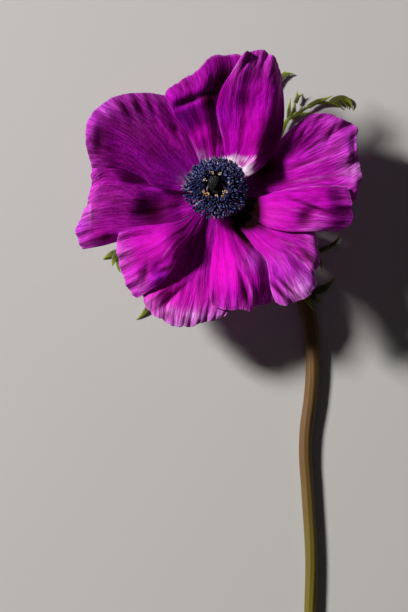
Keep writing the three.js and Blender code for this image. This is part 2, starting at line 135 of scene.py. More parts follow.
def swept(centres, half_width, half_height, sides):
    """Vertices and faces of a closed tube: half sizes are given for each ring and each side."""
    along = np.gradient(centres, axis=0)
    along /= np.linalg.norm(along, axis=1, keepdims=True)
    side = np.cross(along, [0.0, 0.0, 1.0])
    side /= np.linalg.norm(side, axis=1, keepdims=True)
    top = np.cross(side, along)
    angle = np.linspace(0, 2 * np.pi, sides, endpoint=False)
    rings = (
        centres[:, None]
        + side[:, None] * (np.sin(angle) * half_width)[..., None]
        - top[:, None] * (np.cos(angle) * half_height)[..., None]
    )
    count = len(centres)
    vertices = np.vstack([rings.reshape(-1, 3), centres[:1], centres[-1:]])
    faces = []
    for i in range(count - 1):
        for j in range(sides):
            a, b = i * sides + j, i * sides + (j + 1) % sides
            faces.append((a, a + sides, b + sides, b))
    last_ring, first_cap, last_cap = (count - 1) * sides, count * sides, count * sides + 1
    for j in range(sides):
        k = (j + 1) % sides
        faces.append((first_cap, j, k))
        faces.append((last_cap, last_ring + k, last_ring + j))
    return vertices, faces


def piece_from(name, vertices_mm, faces, material, values=None):
    """An object from points in mm about the flower's middle, with named values on its points."""
    mesh = bpy.data.meshes.new(name)
    mesh.from_pydata((np.array(vertices_mm) * MM + FLOWER_MIDDLE).tolist(), [], faces)
    for key, numbers in (values or {}).items():
        attribute = mesh.attributes.new(key, "FLOAT", "POINT")
        attribute.data.foreach_set("value", np.array(numbers, np.float32).ravel())
    mesh.polygons.foreach_set("use_smooth", [True] * len(mesh.polygons))
    mesh.materials.append(material)
    made = bpy.data.objects.new(name, mesh)
    bpy.context.scene.collection.objects.link(made)
    return made


def on_axis(height):
    """A point on the flower's leaning axis, at a height over its lowest claws."""
    return [RECEPTACLE_X, RECEPTACLE_Y + height * np.tan(AXIS_LEAN), HEAD_HEIGHT + height]


# The middle of the stem from the cut end: along the table, up the bent neck and up the column.
STEM_ROUTE = [
    [28.6, STEM_END_Y, 2.0], [29.1, -128.5, 1.95], [29.4, -111.2, 1.98], [28.3, -92, 2.03],
    [27.6, -81, 2.06], [27.9, -72.6, 2.14], [29.2, -63, 2.24], [29.8, -53.3, 2.3],
    [29.4, -43.6, 2.3], [27.9, -35.9, 2.3], [25, -29.6, 2.3], [19.7, -23.4, 2.5],
    [13.6, -17.2, 2.9], [8.2, -11.6, 3.9], [3.9, -7.6, 5.9], [1.5, -5.2, 8.6],
    on_axis(-1.4), on_axis(3), on_axis(COLUMN_TOP),
]
STEM_STATIONS = [0, 0.14, 0.42, 0.62, 0.8, 0.93, 0.955, 0.985, 1]  # parts of the length
STEM_RADII = [2.0, 1.95, 2.05, 2.3, 2.3, 1.9, 2.5, 2.6, 1.9]
COLUMN_FROM, COLUMN_TO = 0.945, 0.975  # where the skin turns dark, inside the flower
STEM_RINGS, STEM_SIDES = 420, 40
RIB_COUNT, RIB_DEPTH = 9, 0.07  # faint ridges of the vascular strands, in mm
RIB_SWAY = 0.5  # how far the ridges wind to and fro, in radians

stem_u = np.linspace(0, 1, STEM_RINGS + 1)[:, None]
stem_angle = np.linspace(0, 2 * np.pi, STEM_SIDES, endpoint=False)[None]
stem_radius = smooth_through(STEM_STATIONS, STEM_RADII, stem_u)
rib_turn = stem_angle + RIB_SWAY * np.sin(5 * stem_u)
stem_surface = stem_radius - RIB_DEPTH * (1 + np.cos(RIB_COUNT * rib_turn))
stem_points, stem_faces = swept(
    through(STEM_ROUTE, STEM_RINGS), stem_surface, stem_surface, STEM_SIDES
)
stem_along = np.append(np.repeat(stem_u, STEM_SIDES), [0.0, 1.0])

STRANDS_PER_MM = 0.9  # a strand is about a millimetre wide
STRAND_BREAKS_PER_MM = 0.06  # and runs on for about 17 mm
FLUSH_BLOTCHES_PER_MM = 0.09
FLUSH_FROM, FLUSH_TO = 0.34, 0.54  # parts of the length, from the cut end
FLUSH_UNEVENNESS = 0.3  # how far the blotches pull the flush along

stalk, tree, output = new_material("downy_stalk")
# Live stalk skin: satin, with long pale strands, and a red-brown flush over its olive green.
# The column inside the flower is nearly black.
place = add(tree, "ShaderNodeTexCoord")
across, lengthwise = STRANDS_PER_MM / MM, STRAND_BREAKS_PER_MM / MM
strand_space = add(
    tree,
    "ShaderNodeMapping",
    {"Vector": place.outputs["Object"], "Scale": (across, lengthwise, across)},
)
strands = add(tree, "ShaderNodeTexNoise", {"Vector": strand_space, "Scale": 1.0, "Detail": 4.0})
blotches = add(
    tree,
    "ShaderNodeTexNoise",
    {"Vector": place.outputs["Object"], "Scale": FLUSH_BLOTCHES_PER_MM / MM, "Detail": 3.0},
)
along = add(tree, "ShaderNodeAttribute", attribute_name="along")
flush_edge = add(
    tree,
    "ShaderNodeMath",
    {0: blotches, 1: FLUSH_UNEVENNESS, 2: along.outputs["Fac"]},
    operation="MULTIPLY_ADD",
)
flush = add(tree, "ShaderNodeMapRange", {0: flush_edge, 1: FLUSH_FROM, 2: FLUSH_TO, 3: 0.0, 4: 1.0})
stalk_colour = add(
    tree, "ShaderNodeMix", {0: flush, 6: linear("#6C6400"), 7: linear("#6A3F2A")}, data_type="RGBA"
)
strand_colour = add(
    tree, "ShaderNodeMix", {0: strands, 6: stalk_colour, 7: linear("#6C5A1C")}, data_type="RGBA"
)
column = add(
    tree,
    "ShaderNodeMapRange",
    {0: along.outputs["Fac"], 1: COLUMN_FROM, 2: COLUMN_TO, 3: 0.0, 4: 1.0},
)
with_column = add(
    tree, "ShaderNodeMix", {0: column, 6: strand_colour, 7: linear("#120C14")}, data_type="RGBA"
)
bump = add(tree, "ShaderNodeBump", {"Height": strands, "Distance": 0.12 * MM, "Strength": 0.6})
skin = add(
    tree,
    "ShaderNodeBsdfPrincipled",
    {
        "Base Color": with_column,
        "Roughness": 0.5,
        "IOR": 1.42,
        "Sheen Weight": 0.12,
        "Sheen Roughness": 0.4,
        "Normal": bump,
    },
)
tree.links.new(skin.outputs[0], output.inputs[0])

stem = piece_from("stem", stem_points, stem_faces, stalk, {"along": stem_along})
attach(stem, "root")
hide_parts("flower_stem")

# ---------------------------------------------------------------------------------------------
# Involucre. Three leaves on the stem below the flower, cut into narrow pointed lobes like
# parsley. They are thin and soft, and their tips rest on the table.
# ---------------------------------------------------------------------------------------------
LOBE_HALF_THICKNESS = 0.22
LOBE_SIDES = 14
LOBE_STEP = 0.5  # mm between two rings of a lobe
LOBE_LEAST_STEPS = 10
LOBE_TAPER_FROM = 0.6  # part of its length from which a lobe tapers
LOBE_TIP_HALF_WIDTH = 0.06
GROOVE_DEPTH, GROOVE_WIDTH = 0.45, 0.25  # parts of a lobe's thickness and half width

# Each lobe is a route of points (x, y and height above the table) and half its width, in mm.
BRACTS = {
    "bract_upper": [
        ([(8.4, -7.9, 4.6), (11.2, -2, 4.0), (15.5, 7, 3.0), (20, 17.2, 2.0),
          (22.7, 21.8, 1.6), (27.4, 24.6, 1.7)], 1.4),
        ([(22.4, 21.4, 1.6), (27.4, 24.6, 1.8), (30.5, 26.3, 1.9), (32.6, 27.2, 1.9)], 0.42),
        ([(28.4, 25.2, 1.8), (31, 26.7, 1.9), (33.5, 27.5, 2.0), (36, 28.7, 2.2)], 0.62),
        ([(31, 26.3, 1.7), (34, 26.5, 1.6), (36.6, 26.1, 1.4), (39.3, 24.3, 0.3)], 0.36),
        ([(35.2, 26.5, 1.4), (37.2, 27.6, 1.5), (39.4, 27.8, 1.4), (41.4, 26.5, 1.1),
          (42, 24.2, 0.25)], 0.78),
        ([(38.8, 27.2, 1.4), (40.0, 26.0, 1.1), (40.5, 24.6, 0.4)], 0.4),
        ([(37, 26.9, 1.5), (38.2, 26.1, 1.3), (38.8, 25.2, 0.9)], 0.36),
        ([(22.6, 21.6, 1.6), (25.8, 22.9, 1.8), (29.6, 23.6, 1.9)], 0.42),
        ([(22.4, 21.2, 1.6), (22.6, 24.6, 1.5), (23.1, 27.9, 1.2)], 0.5),
        ([(22.9, 22.0, 1.6), (24.2, 25.2, 1.8), (24.9, 27.6, 1.7)], 0.34),
        ([(24.5, 26.4, 1.7), (25.1, 28, 1.8), (25, 30.1, 1.4)], 0.55),
        ([(24.8, 27.4, 1.8), (26, 28.6, 1.9), (27.1, 29.1, 1.9)], 0.3),
        ([(14.2, 4, 3.3), (16.2, 14, 2.2), (17.6, 24.5, 1.4), (19.5, 32.2, 1.2)], 0.65),
        ([(18.5, 30.8, 1.2), (19.9, 33.7, 1.3), (21.8, 35.3, 1.4), (24.4, 35.2, 0.6)], 0.66),
        ([(19.8, 33.4, 1.2), (20.5, 35.0, 1.3), (21.7, 36.2, 1.2)], 0.36),
        ([(12.3, 0, 3.8), (20, 3.5, 2.6), (28, 7.5, 1.6), (34, 10, 0.5)], 0.9),
    ],
    "bract_left": [
        ([(3.7, -11.5, 4.6), (-2, -14, 3.8), (-10, -16.4, 2.8), (-19, -17.6, 1.8),
          (-29.4, -18.9, 1.3)], 0.9),
        ([(-28.6, -18.8, 1.3), (-32, -19.8, 1), (-34.1, -21.1, 0.25)], 0.85),
        ([(-29, -18.9, 1.3), (-30.5, -20.9, 1.5), (-31.2, -23.3, 1.6)], 0.9),
        ([(-27.4, -18.6, 1.4), (-29.2, -21.6, 1.3), (-29.3, -24.1, 1), (-28.6, -25.2, 0.8)], 0.75),
        ([(-6, -15.3, 3.3), (-12.4, -23.5, 2.2), (-17, -30.5, 1.4), (-21.6, -37.4, 0.7),
          (-23.9, -39.5, 0.25)], 0.95),
        ([(-17.8, -31.6, 1.3), (-20.5, -33.3, 1.5), (-21.2, -36, 1.4)], 0.5),
        ([(-18.2, -33, 1.3), (-20.6, -36.4, 1.1), (-22.4, -38.3, 0.7), (-24.0, -39.5, 0.25)], 0.75),
        ([(-9, -16.1, 2.9), (-17, -11, 2.2), (-26, -6, 1.2), (-32, -3, 0.4)], 0.9),
        ([(-14, -27, 1.8), (-12, -32, 1.6), (-9, -36, 0.7)], 0.7),
    ],
    "bract_right": [
        ([(12.6, -11.2, 4.6), (18, -13.2, 3.8), (25, -17, 2.6), (29.8, -19.4, 2.0),
          (31.6, -19, 2.0)], 0.9),
        ([(30.3, -19.1, 2.0), (33.7, -17.8, 1.9), (36.1, -16.9, 1.6), (38.5, -16.7, 1.4)], 0.55),
        ([(34.9, -17.2, 1.8), (36.8, -15.9, 1.5), (37.8, -14.4, 1), (38, -13.1, 0.25)], 0.4),
        ([(28.8, -18.8, 2.1), (31.7, -21.4, 1.8), (32.6, -24.8, 0.9)], 0.5),
        ([(16.4, -13.1, 4.0), (23.4, -20.6, 2.9), (28.5, -27.3, 2.1), (30.2, -31, 1.7)], 0.8),
        ([(29.8, -30.8, 1.7), (33, -30, 1.5), (35, -28.5, 1.1), (36.8, -26.4, 0.25)], 0.75),
        ([(30, -30.9, 1.7), (32.3, -31.2, 1.3), (34.5, -30.5, 1)], 0.4),
        ([(29.4, -29.6, 1.8), (30.3, -33.1, 2.2), (33, -34.4, 1.6)], 0.7),
        ([(28.9, -27.4, 2.1), (28.6, -30, 4.6), (27.9, -33.6, 5.8), (30.4, -37, 4.8)], 0.8),
        ([(28.6, -30.6, 4.9), (27.5, -33, 6.2), (29.7, -35, 6.5)], 0.5),
        ([(18, -13.6, 3.8), (24, -9.5, 2.6), (30, -6, 1.3), (35, -4.5, 0.4)], 0.8),
    ],
}

LEAF_MOTTLES_PER_MM = 0.26
TIP_FROM, TIP_AMOUNT = 0.45, 0.75  # part of a lobe from which it turns yellow-green, and how far

leaf, tree, output = new_material("involucre_leaf")
# Living leaf: soft satin with a faint mottle, dark green at the stalk, yellow-green at the tips.
place = add(tree, "ShaderNodeTexCoord")
mottle = add(
    tree,
    "ShaderNodeTexNoise",
    {"Vector": place.outputs["Object"], "Scale": LEAF_MOTTLES_PER_MM / MM, "Detail": 4.0},
)
tip = add(tree, "ShaderNodeAttribute", attribute_name="tip")
green = add(
    tree, "ShaderNodeMix", {0: mottle, 6: linear("#30360A"), 7: linear("#5A5E12")}, data_type="RGBA"
)
tip_amount = add(
    tree, "ShaderNodeMapRange", {0: tip.outputs["Fac"], 1: TIP_FROM, 2: 1.0, 3: 0.0, 4: TIP_AMOUNT}
)
leaf_colour = add(
    tree, "ShaderNodeMix", {0: tip_amount, 6: green, 7: linear("#AEC034")}, data_type="RGBA"
)
bump = add(tree, "ShaderNodeBump", {"Height": mottle, "Distance": 0.1 * MM, "Strength": 0.5})
skin = add(
    tree,
    "ShaderNodeBsdfPrincipled",
    {
        "Base Color": leaf_colour,
        "Roughness": 0.48,
        "IOR": 1.42,
        "Subsurface Weight": 0.15,
        "Subsurface Radius": (0.6, 1.0, 0.2),
        "Subsurface Scale": 0.6 * MM,
        "Normal": bump,
    },
)
tree.links.new(skin.outputs[0], output.inputs[0])


def leaf_lobe(route, half_width):
    """One lobe: a thin lens in section, grooved along its rib, drawn out to a point."""
    length = np.linalg.norm(np.diff(through(route, 20), axis=0), axis=1).sum()
    steps = max(LOBE_LEAST_STEPS, round(length / LOBE_STEP))
    u = np.linspace(0, 1, steps + 1)[:, None]
    belly = 0.75 + 0.5 * np.sin(np.pi * np.minimum(1, 0.25 + u))
    taper = np.clip((1 - u) / (1 - LOBE_TAPER_FROM), 0, 1)
    to_the_point = np.clip(12 * (1 - u), 0, 1)
    width = half_width * belly * (0.25 + 0.75 * taper) * to_the_point
    width = np.maximum(LOBE_TIP_HALF_WIDTH, width)
    angle = np.linspace(0, 2 * np.pi, LOBE_SIDES, endpoint=False)[None]
    in_groove = np.exp(-((np.sin(angle) / GROOVE_WIDTH) ** 2)) * (np.cos(angle) < 0)
    height = LOBE_HALF_THICKNESS * (1 - GROOVE_DEPTH * in_groove) * np.clip(width / 0.4, 0.25, 1)
    points, faces = swept(through(route, steps), width, height, LOBE_SIDES)
    return points, faces, np.append(np.repeat(u, LOBE_SIDES), [0.0, 1.0])


for bract_name, lobes in BRACTS.items():
    all_points, all_faces, all_tips, used = [], [], [], 0
    for route, half_width in lobes:
        points, faces, tips = leaf_lobe(route, half_width)
        all_points.append(points)
        all_tips.append(tips)
        all_faces += [tuple(corner + used for corner in face) for face in faces]
        used += len(points)
    leaf_piece = piece_from(
        bract_name.replace("bract", "involucre_leaf"),
        np.vstack(all_points),
        all_faces,
        leaf,
        {"tip": np.concatenate(all_tips)},
    )
    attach(leaf_piece, "root")
    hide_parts(bract_name)

# ---------------------------------------------------------------------------------------------
# Tepals. Ten thin velvety blades on narrow claws round the receptacle, in four layers. Their
# veins fan out from the claw, the rims are ruffled, and the claws are white behind the stamens.
# ---------------------------------------------------------------------------------------------
FACE_SLOPE = 0.14  # drop of the ring of tepals for each millimetre along +Y
CLAW_STEP = 1.0  # height between one layer of claws and the next
CLAW_HALF_ANGLE = np.radians(25)
CLAW_RADIUS = (2.6 + 0.4) / np.cos(CLAW_HALF_ANGLE)  # 0.4 mm clear of the receptacle
RISE_RADII = [3, 10, 20, 30, 42]
TEPAL_ROWS, TEPAL_COLUMNS = 96, 84
OUT = np.linspace(0, 1, TEPAL_ROWS + 1)[:, None]  # from the claw (0) to the rim (1)
ACROSS = np.linspace(0, 1, TEPAL_COLUMNS + 1)[None]  # from the left margin (0) to the right (1)
TEPAL_HALF_THICKNESS = 0.17
TEPAL_EDGE_HALF_THICKNESS = 0.06
EDGE_ROUNDING = 0.5  # how far in from its edge a blade reaches its thickness
SCALLOP_REACH, RUFFLE_REACH = 2.5, 5  # how far in from the rim these show
ROLL_FADE = 0.12  # part of a margin over which a roll begins and ends
SWELL_HEIGHT = 0.22  # broad uneven swelling of every blade
EDGE_DROOP, EDGE_DROOP_REACH = 0.45, 0.9
EDGE_DROOP_FROM = 12  # radius from which the edges droop fully
CREASE_FADE_IN, CREASE_FADE_OUT = 0.25, 0.2  # parts of the way out
# The thin pale edge is a painted highlight along the rim and the listed margins.
EDGE_HIGHLIGHT, EDGE_HIGHLIGHT_WIDTH = 0.4, 0.3  # strength and width of the thin pale edge
UNDERSIDE_PALER = 0.35
# Dark marks are painted shade in creases and hollows, and painted cast shadows where darkest.
DARKEST_SHADE, SHADE_POWER = 0.9, 2.2  # marks darken fast at first and stop at the darkest
MAP_WIDTH, MAP_SPACING = 28, 40  # mm, so that no two blades have the same veins

# In mm from the flower's middle. heading is the way the claw points, in degrees, and layer is the
# claw's place in the stack, from 0 at the bottom. left and right are the margins, seen looking out
# from the claw, and rim joins their ends. rise is the height of the blade at each of RISE_RADII.
#
# Shape: a fold is a ridge or a dent from one point to another, with its width and height. A roll
# turns a margin up or down: which margin, from and to (0 to 1 along it), width and height.
# creases are how many, depth and where they start on the way out. ruffle is the number of waves
# along the rim and their height, and frill is how far the rim is scalloped.
#
# Colour: pale is how pale the whole is, how pale the rim is, and how deep that rim is; that pale
# rim is mostly a painted sheen. highlit_margins get a thin painted highlight along the edge, as
# every rim has. Three lists hold places, each with x, y, radius and amount:
# pale_and_highlit_patches are paler, some of them painted highlights; tints are rosier (amount
# over 0), partly painted light where light falls full, or more violet (under 0), a painted sheen;
# and tongues push the white of the claw back (over 0) or outwards (under 0), which otherwise ends
# at the radius white_to. shade_and_highlight_marks are given like folds: over 0 they are painted
# shade in creases and hollows, nearly black from about 0.9 on, where they paint cast shadows;
# under 0 they are paler lines, painted highlights on ridges and edges.
TEPALS = {
    "tepal_top_left": {
        "heading": 104, "layer": 2,
        "left": [(-4.6, 8), (-8.5, 16.8), (-12.2, 21.7), (-13.2, 24.6), (-15, 27.2)],
        "rim": [(-14.1, 29.6), (-9.8, 32.4), (-4.9, 35.5), (-1.2, 39.4), (2.5, 39.6), (6.8, 40.1)],
        "right": [(3, 9), (5, 20), (6.5, 28), (9.5, 34), (9, 38)],
        "rise": [2, 4.8, 10.4, 18.5, 26],
        "folds": [
            (-14.5, 23.4, 1, 29.5, 1.2, -1.6), (1.8, 20, 8.5, 46, 5.0, -5.6),
            (2.8, 10, 3.6, 22, 2.0, -2.4), (-4, 11, -3, 20, 2.6, 1.2),
        ],
        "rolls": [("rim", 0, 1, 3.2, -2.8)],
        "creases": (10, 0.2, 0.5), "ruffle": (2.5, 0.35), "frill": 0.12, "pale": (0.0, 0.02, 3),
        "pale_and_highlit_patches": [(-4.2, 9.8, 1.6, 0.8)],
        "tints": [(-3, 15, 5, 0.6), (-9, 21, 4, -0.4)],
        "white_to": 11.7,
        "shade_and_highlight_marks": [
            (-2.6, 22, -0.8, 30, 2.4, 0.7), (-0.4, 29, 8, 38, 2.6, 0.72),
            (-13, 27, -2, 36.5, 3.2, 0.12), (-14.5, 23.4, 1, 29.5, 0.8, 0.5),
            (-8, 16, -4.5, 10, 0.3, -0.21),
        ],
    },
    "tepal_top": {
        "heading": 66, "layer": 3,
        "left": [(2.4, 8), (2.6, 13), (0.9, 19.9), (0.4, 24.1), (1.9, 29.6), (4.5, 33), (7, 36.2)],
        "rim": [(7.8, 39), (9.8, 40.4), (13.8, 41), (17.2, 39.4), (19, 36.4)],
        "right": [
            (8, 2.6), (12.4, 5), (15.8, 8), (18.8, 12.6), (20.4, 17.8), (20.8, 24), (20.2, 31.5),
        ],
        "rise": [3, 5.9, 12, 19.2, 29.5],
        "folds": [
            (8, 20, 9.5, 30, 4.0, -1.7), (12, 37, 12.5, 39.5, 1.4, -1.2), (6, 30, 9, 40, 2.4, 0.8),
            (14, 33, 15, 41, 2.6, -1.4), (12.2, 7, 16.4, 28, 3.2, 1.8),
            (9.8, 4.8, 13.4, 10.8, 1.8, 3.2),
        ],
        "rolls": [
            ("right", 0.42, 1.1, 4.2, -7), ("left", 0.2, 0.9, 2.5, -1.2),
            ("rim", 0.3, 1, 3.5, -3.0),
        ],
        "creases": (9, 0.2, 0.45), "ruffle": (5, 0.6), "frill": 0.2, "pale": (0.0, 0.12, 5),
        "pale_and_highlit_patches": [(7, 33, 4, 0.05), (11, 38, 3, 0.05)],
        "tints": [(12, 15, 6, 0.4), (2, 22, 3, -0.3)],
        "white_to": 14.0,
        "tongues": [(7.9, 7.2, 1.4, 2.6), (13, 9.5, 2.6, -2.6), (3.4, 10.8, 1.9, 2.4)],
        "shade_and_highlight_marks": [
            (13.6, 5, 19.6, 24, 3.0, 0.66), (9, 37, 17, 33, 4.0, 0.14),
            (15, 17, 16.6, 28, 0.3, -0.17), (2.6, 12, 1, 22, 0.3, -0.17),
            (10, 20, 10, 29, 2.2, 0.12),
        ],
    },
    "tepal_right_upper": {
        "heading": 17, "layer": 0,
        "left": [(7, 5.6), (13, 9.8), (18, 13), (21.6, 16.8), (25.4, 20), (29.2, 22.4)],
        "rim": [(32.5, 22.6), (36.2, 21.7), (42.6, 18.3), (42.6, 12.4), (44.1, 5), (43.2, -1)],
        "right": [(11, -2.8), (20, -4.6), (32, -6), (39, -5.4), (42.3, -3.4)],
        "rise": [0, 0.5, 2.2, 7.6, 12],
        "folds": [
            (20, 12, 33, 22.5, 3.2, 2.0), (22, 10, 31, 18.5, 0.7, 0.6), (26, 9, 36, 17.5, 0.8, 0.6),
            (24, 12, 29, 20.5, 0.7, -0.8), (29, 8, 40, 14.5, 0.8, 0.5), (22, 4.5, 40, 9, 1.0, 0.4),
            (33, 13, 37, 21, 0.8, -0.6), (23, 7, 34, 12, 0.7, -0.5), (41.5, 18, 41, 2, 0.9, -0.7),
        ],
        "rolls": [("rim", 0.35, 1, 2.2, -1.2)],
        "creases": (14, 0.5, 0.3), "ruffle": (3.5, 0.6), "frill": 0.15, "pale": (0.015, 0.12, 4),
        "pale_and_highlit_patches": [(35, 14, 4, 0.1), (42, 6, 3.5, 0.5)],
        "tints": [(24, 3, 6, 0.2), (42, 14, 3, -0.3)],
        "white_to": 8.5,
        "shade_and_highlight_marks": [
            (10, 0, 20, 12, 4.6, 0.85), (23, 11, 31, 20, 0.5, 0.72), (25, 9.5, 35, 17, 0.5, 0.72),
            (22, 6, 31, 9, 0.5, 0.51), (33, 13, 37, 21, 0.5, 0.72), (41.6, 16, 41.5, 7, 0.45, 0.65),
            (24, 11.6, 32, 20.6, 0.35, -0.28), (26, 9, 37, 16.5, 0.35, -0.28),
            (24, 5.5, 38, 10.5, 0.35, -0.24), (19, 1.5, 40, 4.5, 0.35, -0.24),
            (42.4, 18, 42.2, 5, 0.4, -0.28),
        ],
    },
    "tepal_right": {
        "heading": -13, "layer": 3,
        "left": [(9, -2.6), (14.2, -2.3), (18.4, -1), (23.9, 0), (31.3, 0.6), (39.2, 0.6)],
        "rim": [(40.6, -1.8), (41.2, -6), (41.4, -9.8), (39.2, -12)],
        "right": [
            (9.5, -7.4), (13.5, -10.4), (17.2, -12.2), (22.7, -13.2), (30, -13.2), (36.8, -12.9),
        ],
        "rise": [3, 5.6, 11.6, 17, 19],
        "folds": [
            (24.5, -12.6, 30.5, -4.8, 2.3, -2.4), (24, -2.5, 38, -8, 1.2, 0.7),
            (20, -6, 31, -8, 1.2, 0.6), (33, -1, 40, -4, 2.0, -0.8),
        ],
        "rolls": [
            ("left", 0.1, 0.9, 1.6, -1.4), ("rim", 0, 1, 4.5, -4.8), ("right", 0.5, 0.95, 0.9, 0.6),
        ],
        "creases": (8, 0.25, 0.35), "ruffle": (2, 0.3), "frill": 0.1, "pale": (0.0, 0.08, 3),
        "highlit_margins": ["left"],
        "pale_and_highlit_patches": [(17, -9, 4, 0.06), (30, -12, 4, 0.15)],
        "tints": [(17, -8, 7, 0.6), (31, -3, 5, 0.2)],
        "white_to": 8.0,
        "shade_and_highlight_marks": [
            (9.6, 4, 11.6, -14, 2.3, 3.0), (25, -12.4, 29.8, -5, 1.7, 0.5),
            (22, -3, 36, -8, 0.5, 0.58), (34, -1.5, 38, -6, 1.6, 0.22),
            (21, -6, 36, -9.5, 0.35, -0.24), (22, -12.6, 36, -12.4, 0.35, -0.42),
        ],
    },
    "tepal_right_lower": {
        "heading": -44, "layer": 2,
        "left": [(9, -6.6), (16, -9.4), (22, -10.4), (27, -10.8), (30, -12.6)],
        "rim": [(30.8, -17), (31.3, -23), (29.9, -25.6), (30.3, -29.1), (28, -32.4), (21.5, -35.2)],
        "right": [(4.6, -9), (8, -12.6), (11.7, -17.5), (15.3, -21.8), (16.6, -30), (18.2, -34.4)],
        "rise": [2, 4.2, 9.6, 14.4, 16.5],
        "folds": [
            (23, -18, 30, -26, 0.9, -1.6), (16.5, -26, 23.5, -35, 1.0, -1.4),
            (20, -18, 25, -30, 1.6, 1.0), (19, -15, 26, -21, 2.4, -1.4),
            (21, -24, 26.5, -33, 0.8, -0.8),
        ],
        "rolls": [
            ("left", 0.3, 1, 1.0, -0.5), ("rim", 0, 0.45, 1.4, -1.2), ("rim", 0.4, 1, 1.2, -0.7),
            ("right", 0.4, 1, 1.6, -1.4),
        ],
        "creases": (12, 0.5, 0.3), "ruffle": (4, 0.5), "frill": 0.15, "pale": (0.015, 0.25, 4),
        "highlit_margins": ["right"],
        "pale_and_highlit_patches": [(25.5, -30.5, 4, 0.45), (20, -22, 4, 0.08)],
        "tints": [(15, -17, 6, 0.4), (29, -29, 3, -0.5), (20, -25, 4, -0.2)],
        "white_to": 6.5,
        "shade_and_highlight_marks": [
            (5, -9, 13.6, -10, 2.3, 3.0), (24.5, -17, 31, -24, 0.8, 0.65),
            (15.5, -27, 23, -35.5, 0.5, 0.76), (17.5, -25.5, 25, -33.5, 0.5, 0.78),
            (22, -19, 30, -25.6, 0.35, -0.42), (18.5, -28, 26, -34.5, 0.35, -0.21),
            (20, -16, 27, -18, 0.35, -0.21),
        ],
    },
    "tepal_bottom_right": {
        "heading": -76, "layer": 1,
        "left": [(6.4, -9.6), (11, -15), (17, -21), (19.4, -27), (19, -33)],
        "rim": [(16.9, -34.6), (12.3, -35.4), (10.6, -37), (9, -36.6), (3.1, -36.6), (-0.4, -35.4)],
        "right": [(0.5, -8), (0.3, -13), (-0.9, -19.9), (-1.5, -26.1), (-1.8, -32.2)],
        "rise": [1, 2.8, 7.2, 11, 10.6],
        "folds": [
            (6, -12, 8, -36, 5.5, 3.0), (7.2, -24, 11.6, -39, 1.2, -1.5),
            (12, -16, 13, -28, 2.3, 1.8),
        ],
        "rolls": [("left", 0.25, 1, 4.5, -4.5), ("rim", 0, 1, 5, -2)],
        "creases": (5, 0.12, 0.5), "ruffle": (3.5, 0.4), "frill": 0.12, "pale": (0.0, 0.1, 3),
        "pale_and_highlit_patches": [(11, -22, 3, 0.17)],
        "tints": [(2, -24, 9, 0.85), (3, -13, 5, 0.3), (11.5, -22, 4, -0.45)],
        "white_to": 5.2,
        "shade_and_highlight_marks": [
            (4.8, -9.5, 11, -17.4, 1.2, 1.8), (7, -25, 10.8, -37, 0.5, 0.78),
            (14, -26, 15, -35, 1.8, 0.25), (9.5, -27, 12.2, -36, 0.35, -0.28),
            (13.5, -19, 16, -25, 0.35, -0.24),
        ],
    },
    "tepal_bottom_left": {
        "heading": -102, "layer": 0,
        "left": [(1.8, -9), (3, -16), (4, -24), (5, -31), (4.4, -36), (3.2, -38.6)],
        "rim": [(-3.6, -40.5), (-8.5, -41.7), (-12.2, -41.4), (-17.1, -38.9), (-20.6, -36)],
        "right": [(-5, -9.5), (-12, -16.5), (-18, -23.5), (-21.4, -29), (-21.4, -33.4)],
        "rise": [0, 1.4, 3.4, 7.0, 9],
        "folds": [
            (-9, -27, -21, -36, 1.1, 1.0), (-11, -26, -22.5, -33, 0.9, -1.0),
            (-7, -28, -18, -38, 1.0, -0.9),
        ],
        "rolls": [("rim", 0, 1, 2.2, -0.8)],
        "creases": (26, 0.36, 0.7), "ruffle": (7, 0.3), "frill": 0.2, "pale": (0.02, 0.6, 3.6),
        "pale_and_highlit_patches": [(-13.5, -37, 1.6, 0.45), (-10, -40, 1.4, 0.45), (-6.5, -38.2, 1.4, 0.4)],
        "tints": [(-15, -33, 8, 0.8), (-3, -31, 6, 0.3), (-6, -40, 3, -0.2)],
        "white_to": 5.2,
        "shade_and_highlight_marks": [
            (-4, -36, -4.6, -41, 0.45, 0.5), (-9, -37, -10, -42, 0.45, 0.55),
            (-13, -35.5, -15, -40, 0.45, 0.5), (-2, -9, -8, -26, 3.6, 0.15),
            (-4.5, -24, -5, -35, 0.6, 0.35), (-8, -25, -11, -36, 0.6, 0.42),
            (-11.4, -28, -20, -34.8, 0.8, 0.74), (-9, -29, -19, -37, 0.5, 0.5),
            (-10, -27, -21, -34.5, 0.3, -0.28), (-8, -29, -18.5, -37.5, 0.3, -0.28),
            (-14, -36.5, -3, -39, 1.2, -0.35),
        ],
    },
    "tepal_left_lower": {
        "heading": -135, "layer": 1,
        "left": [
            (-3.6, -8.4), (-6.9, -14.6), (-9.5, -18.1), (-11.7, -23.4), (-15.4, -28),
            (-21.6, -31.8),
        ],
        "rim": [(-23.8, -32.8), (-26.3, -29.7), (-28.7, -23), (-29.6, -16.6)],
        "right": [(-5.6, -6.2), (-9.6, -9.4), (-15.9, -10.8), (-23.2, -11.4), (-28.4, -12.9)],
        "rise": [1, 4.2, 9.3, 9.6, 8.6],
        "folds": [
            (-9, -9, -17, -23, 4.2, 4.2), (-13.5, -21.5, -20, -25.5, 2.0, -2.4),
            (-15, -26, -21, -28.5, 1.8, 1.4), (-21, -23.5, -22.5, -28.5, 1.2, -1.3),
        ],
        "rolls": [("rim", 0.1, 0.6, 2.8, -1.8)],
        "creases": (9, 0.2, 0.4), "ruffle": (3, 0.5), "frill": 0.18, "pale": (0.01, 0.12, 3),
        "pale_and_highlit_patches": [(-28, -20, 3, 0.25), (-22, -29, 2.5, 0.2)],
        "tints": [(-20, -18, 9, 0.5), (-16, -27, 3.5, -0.7), (-25, -12, 4, -0.2)],
        "white_to": 5.0,
        "shade_and_highlight_marks": [
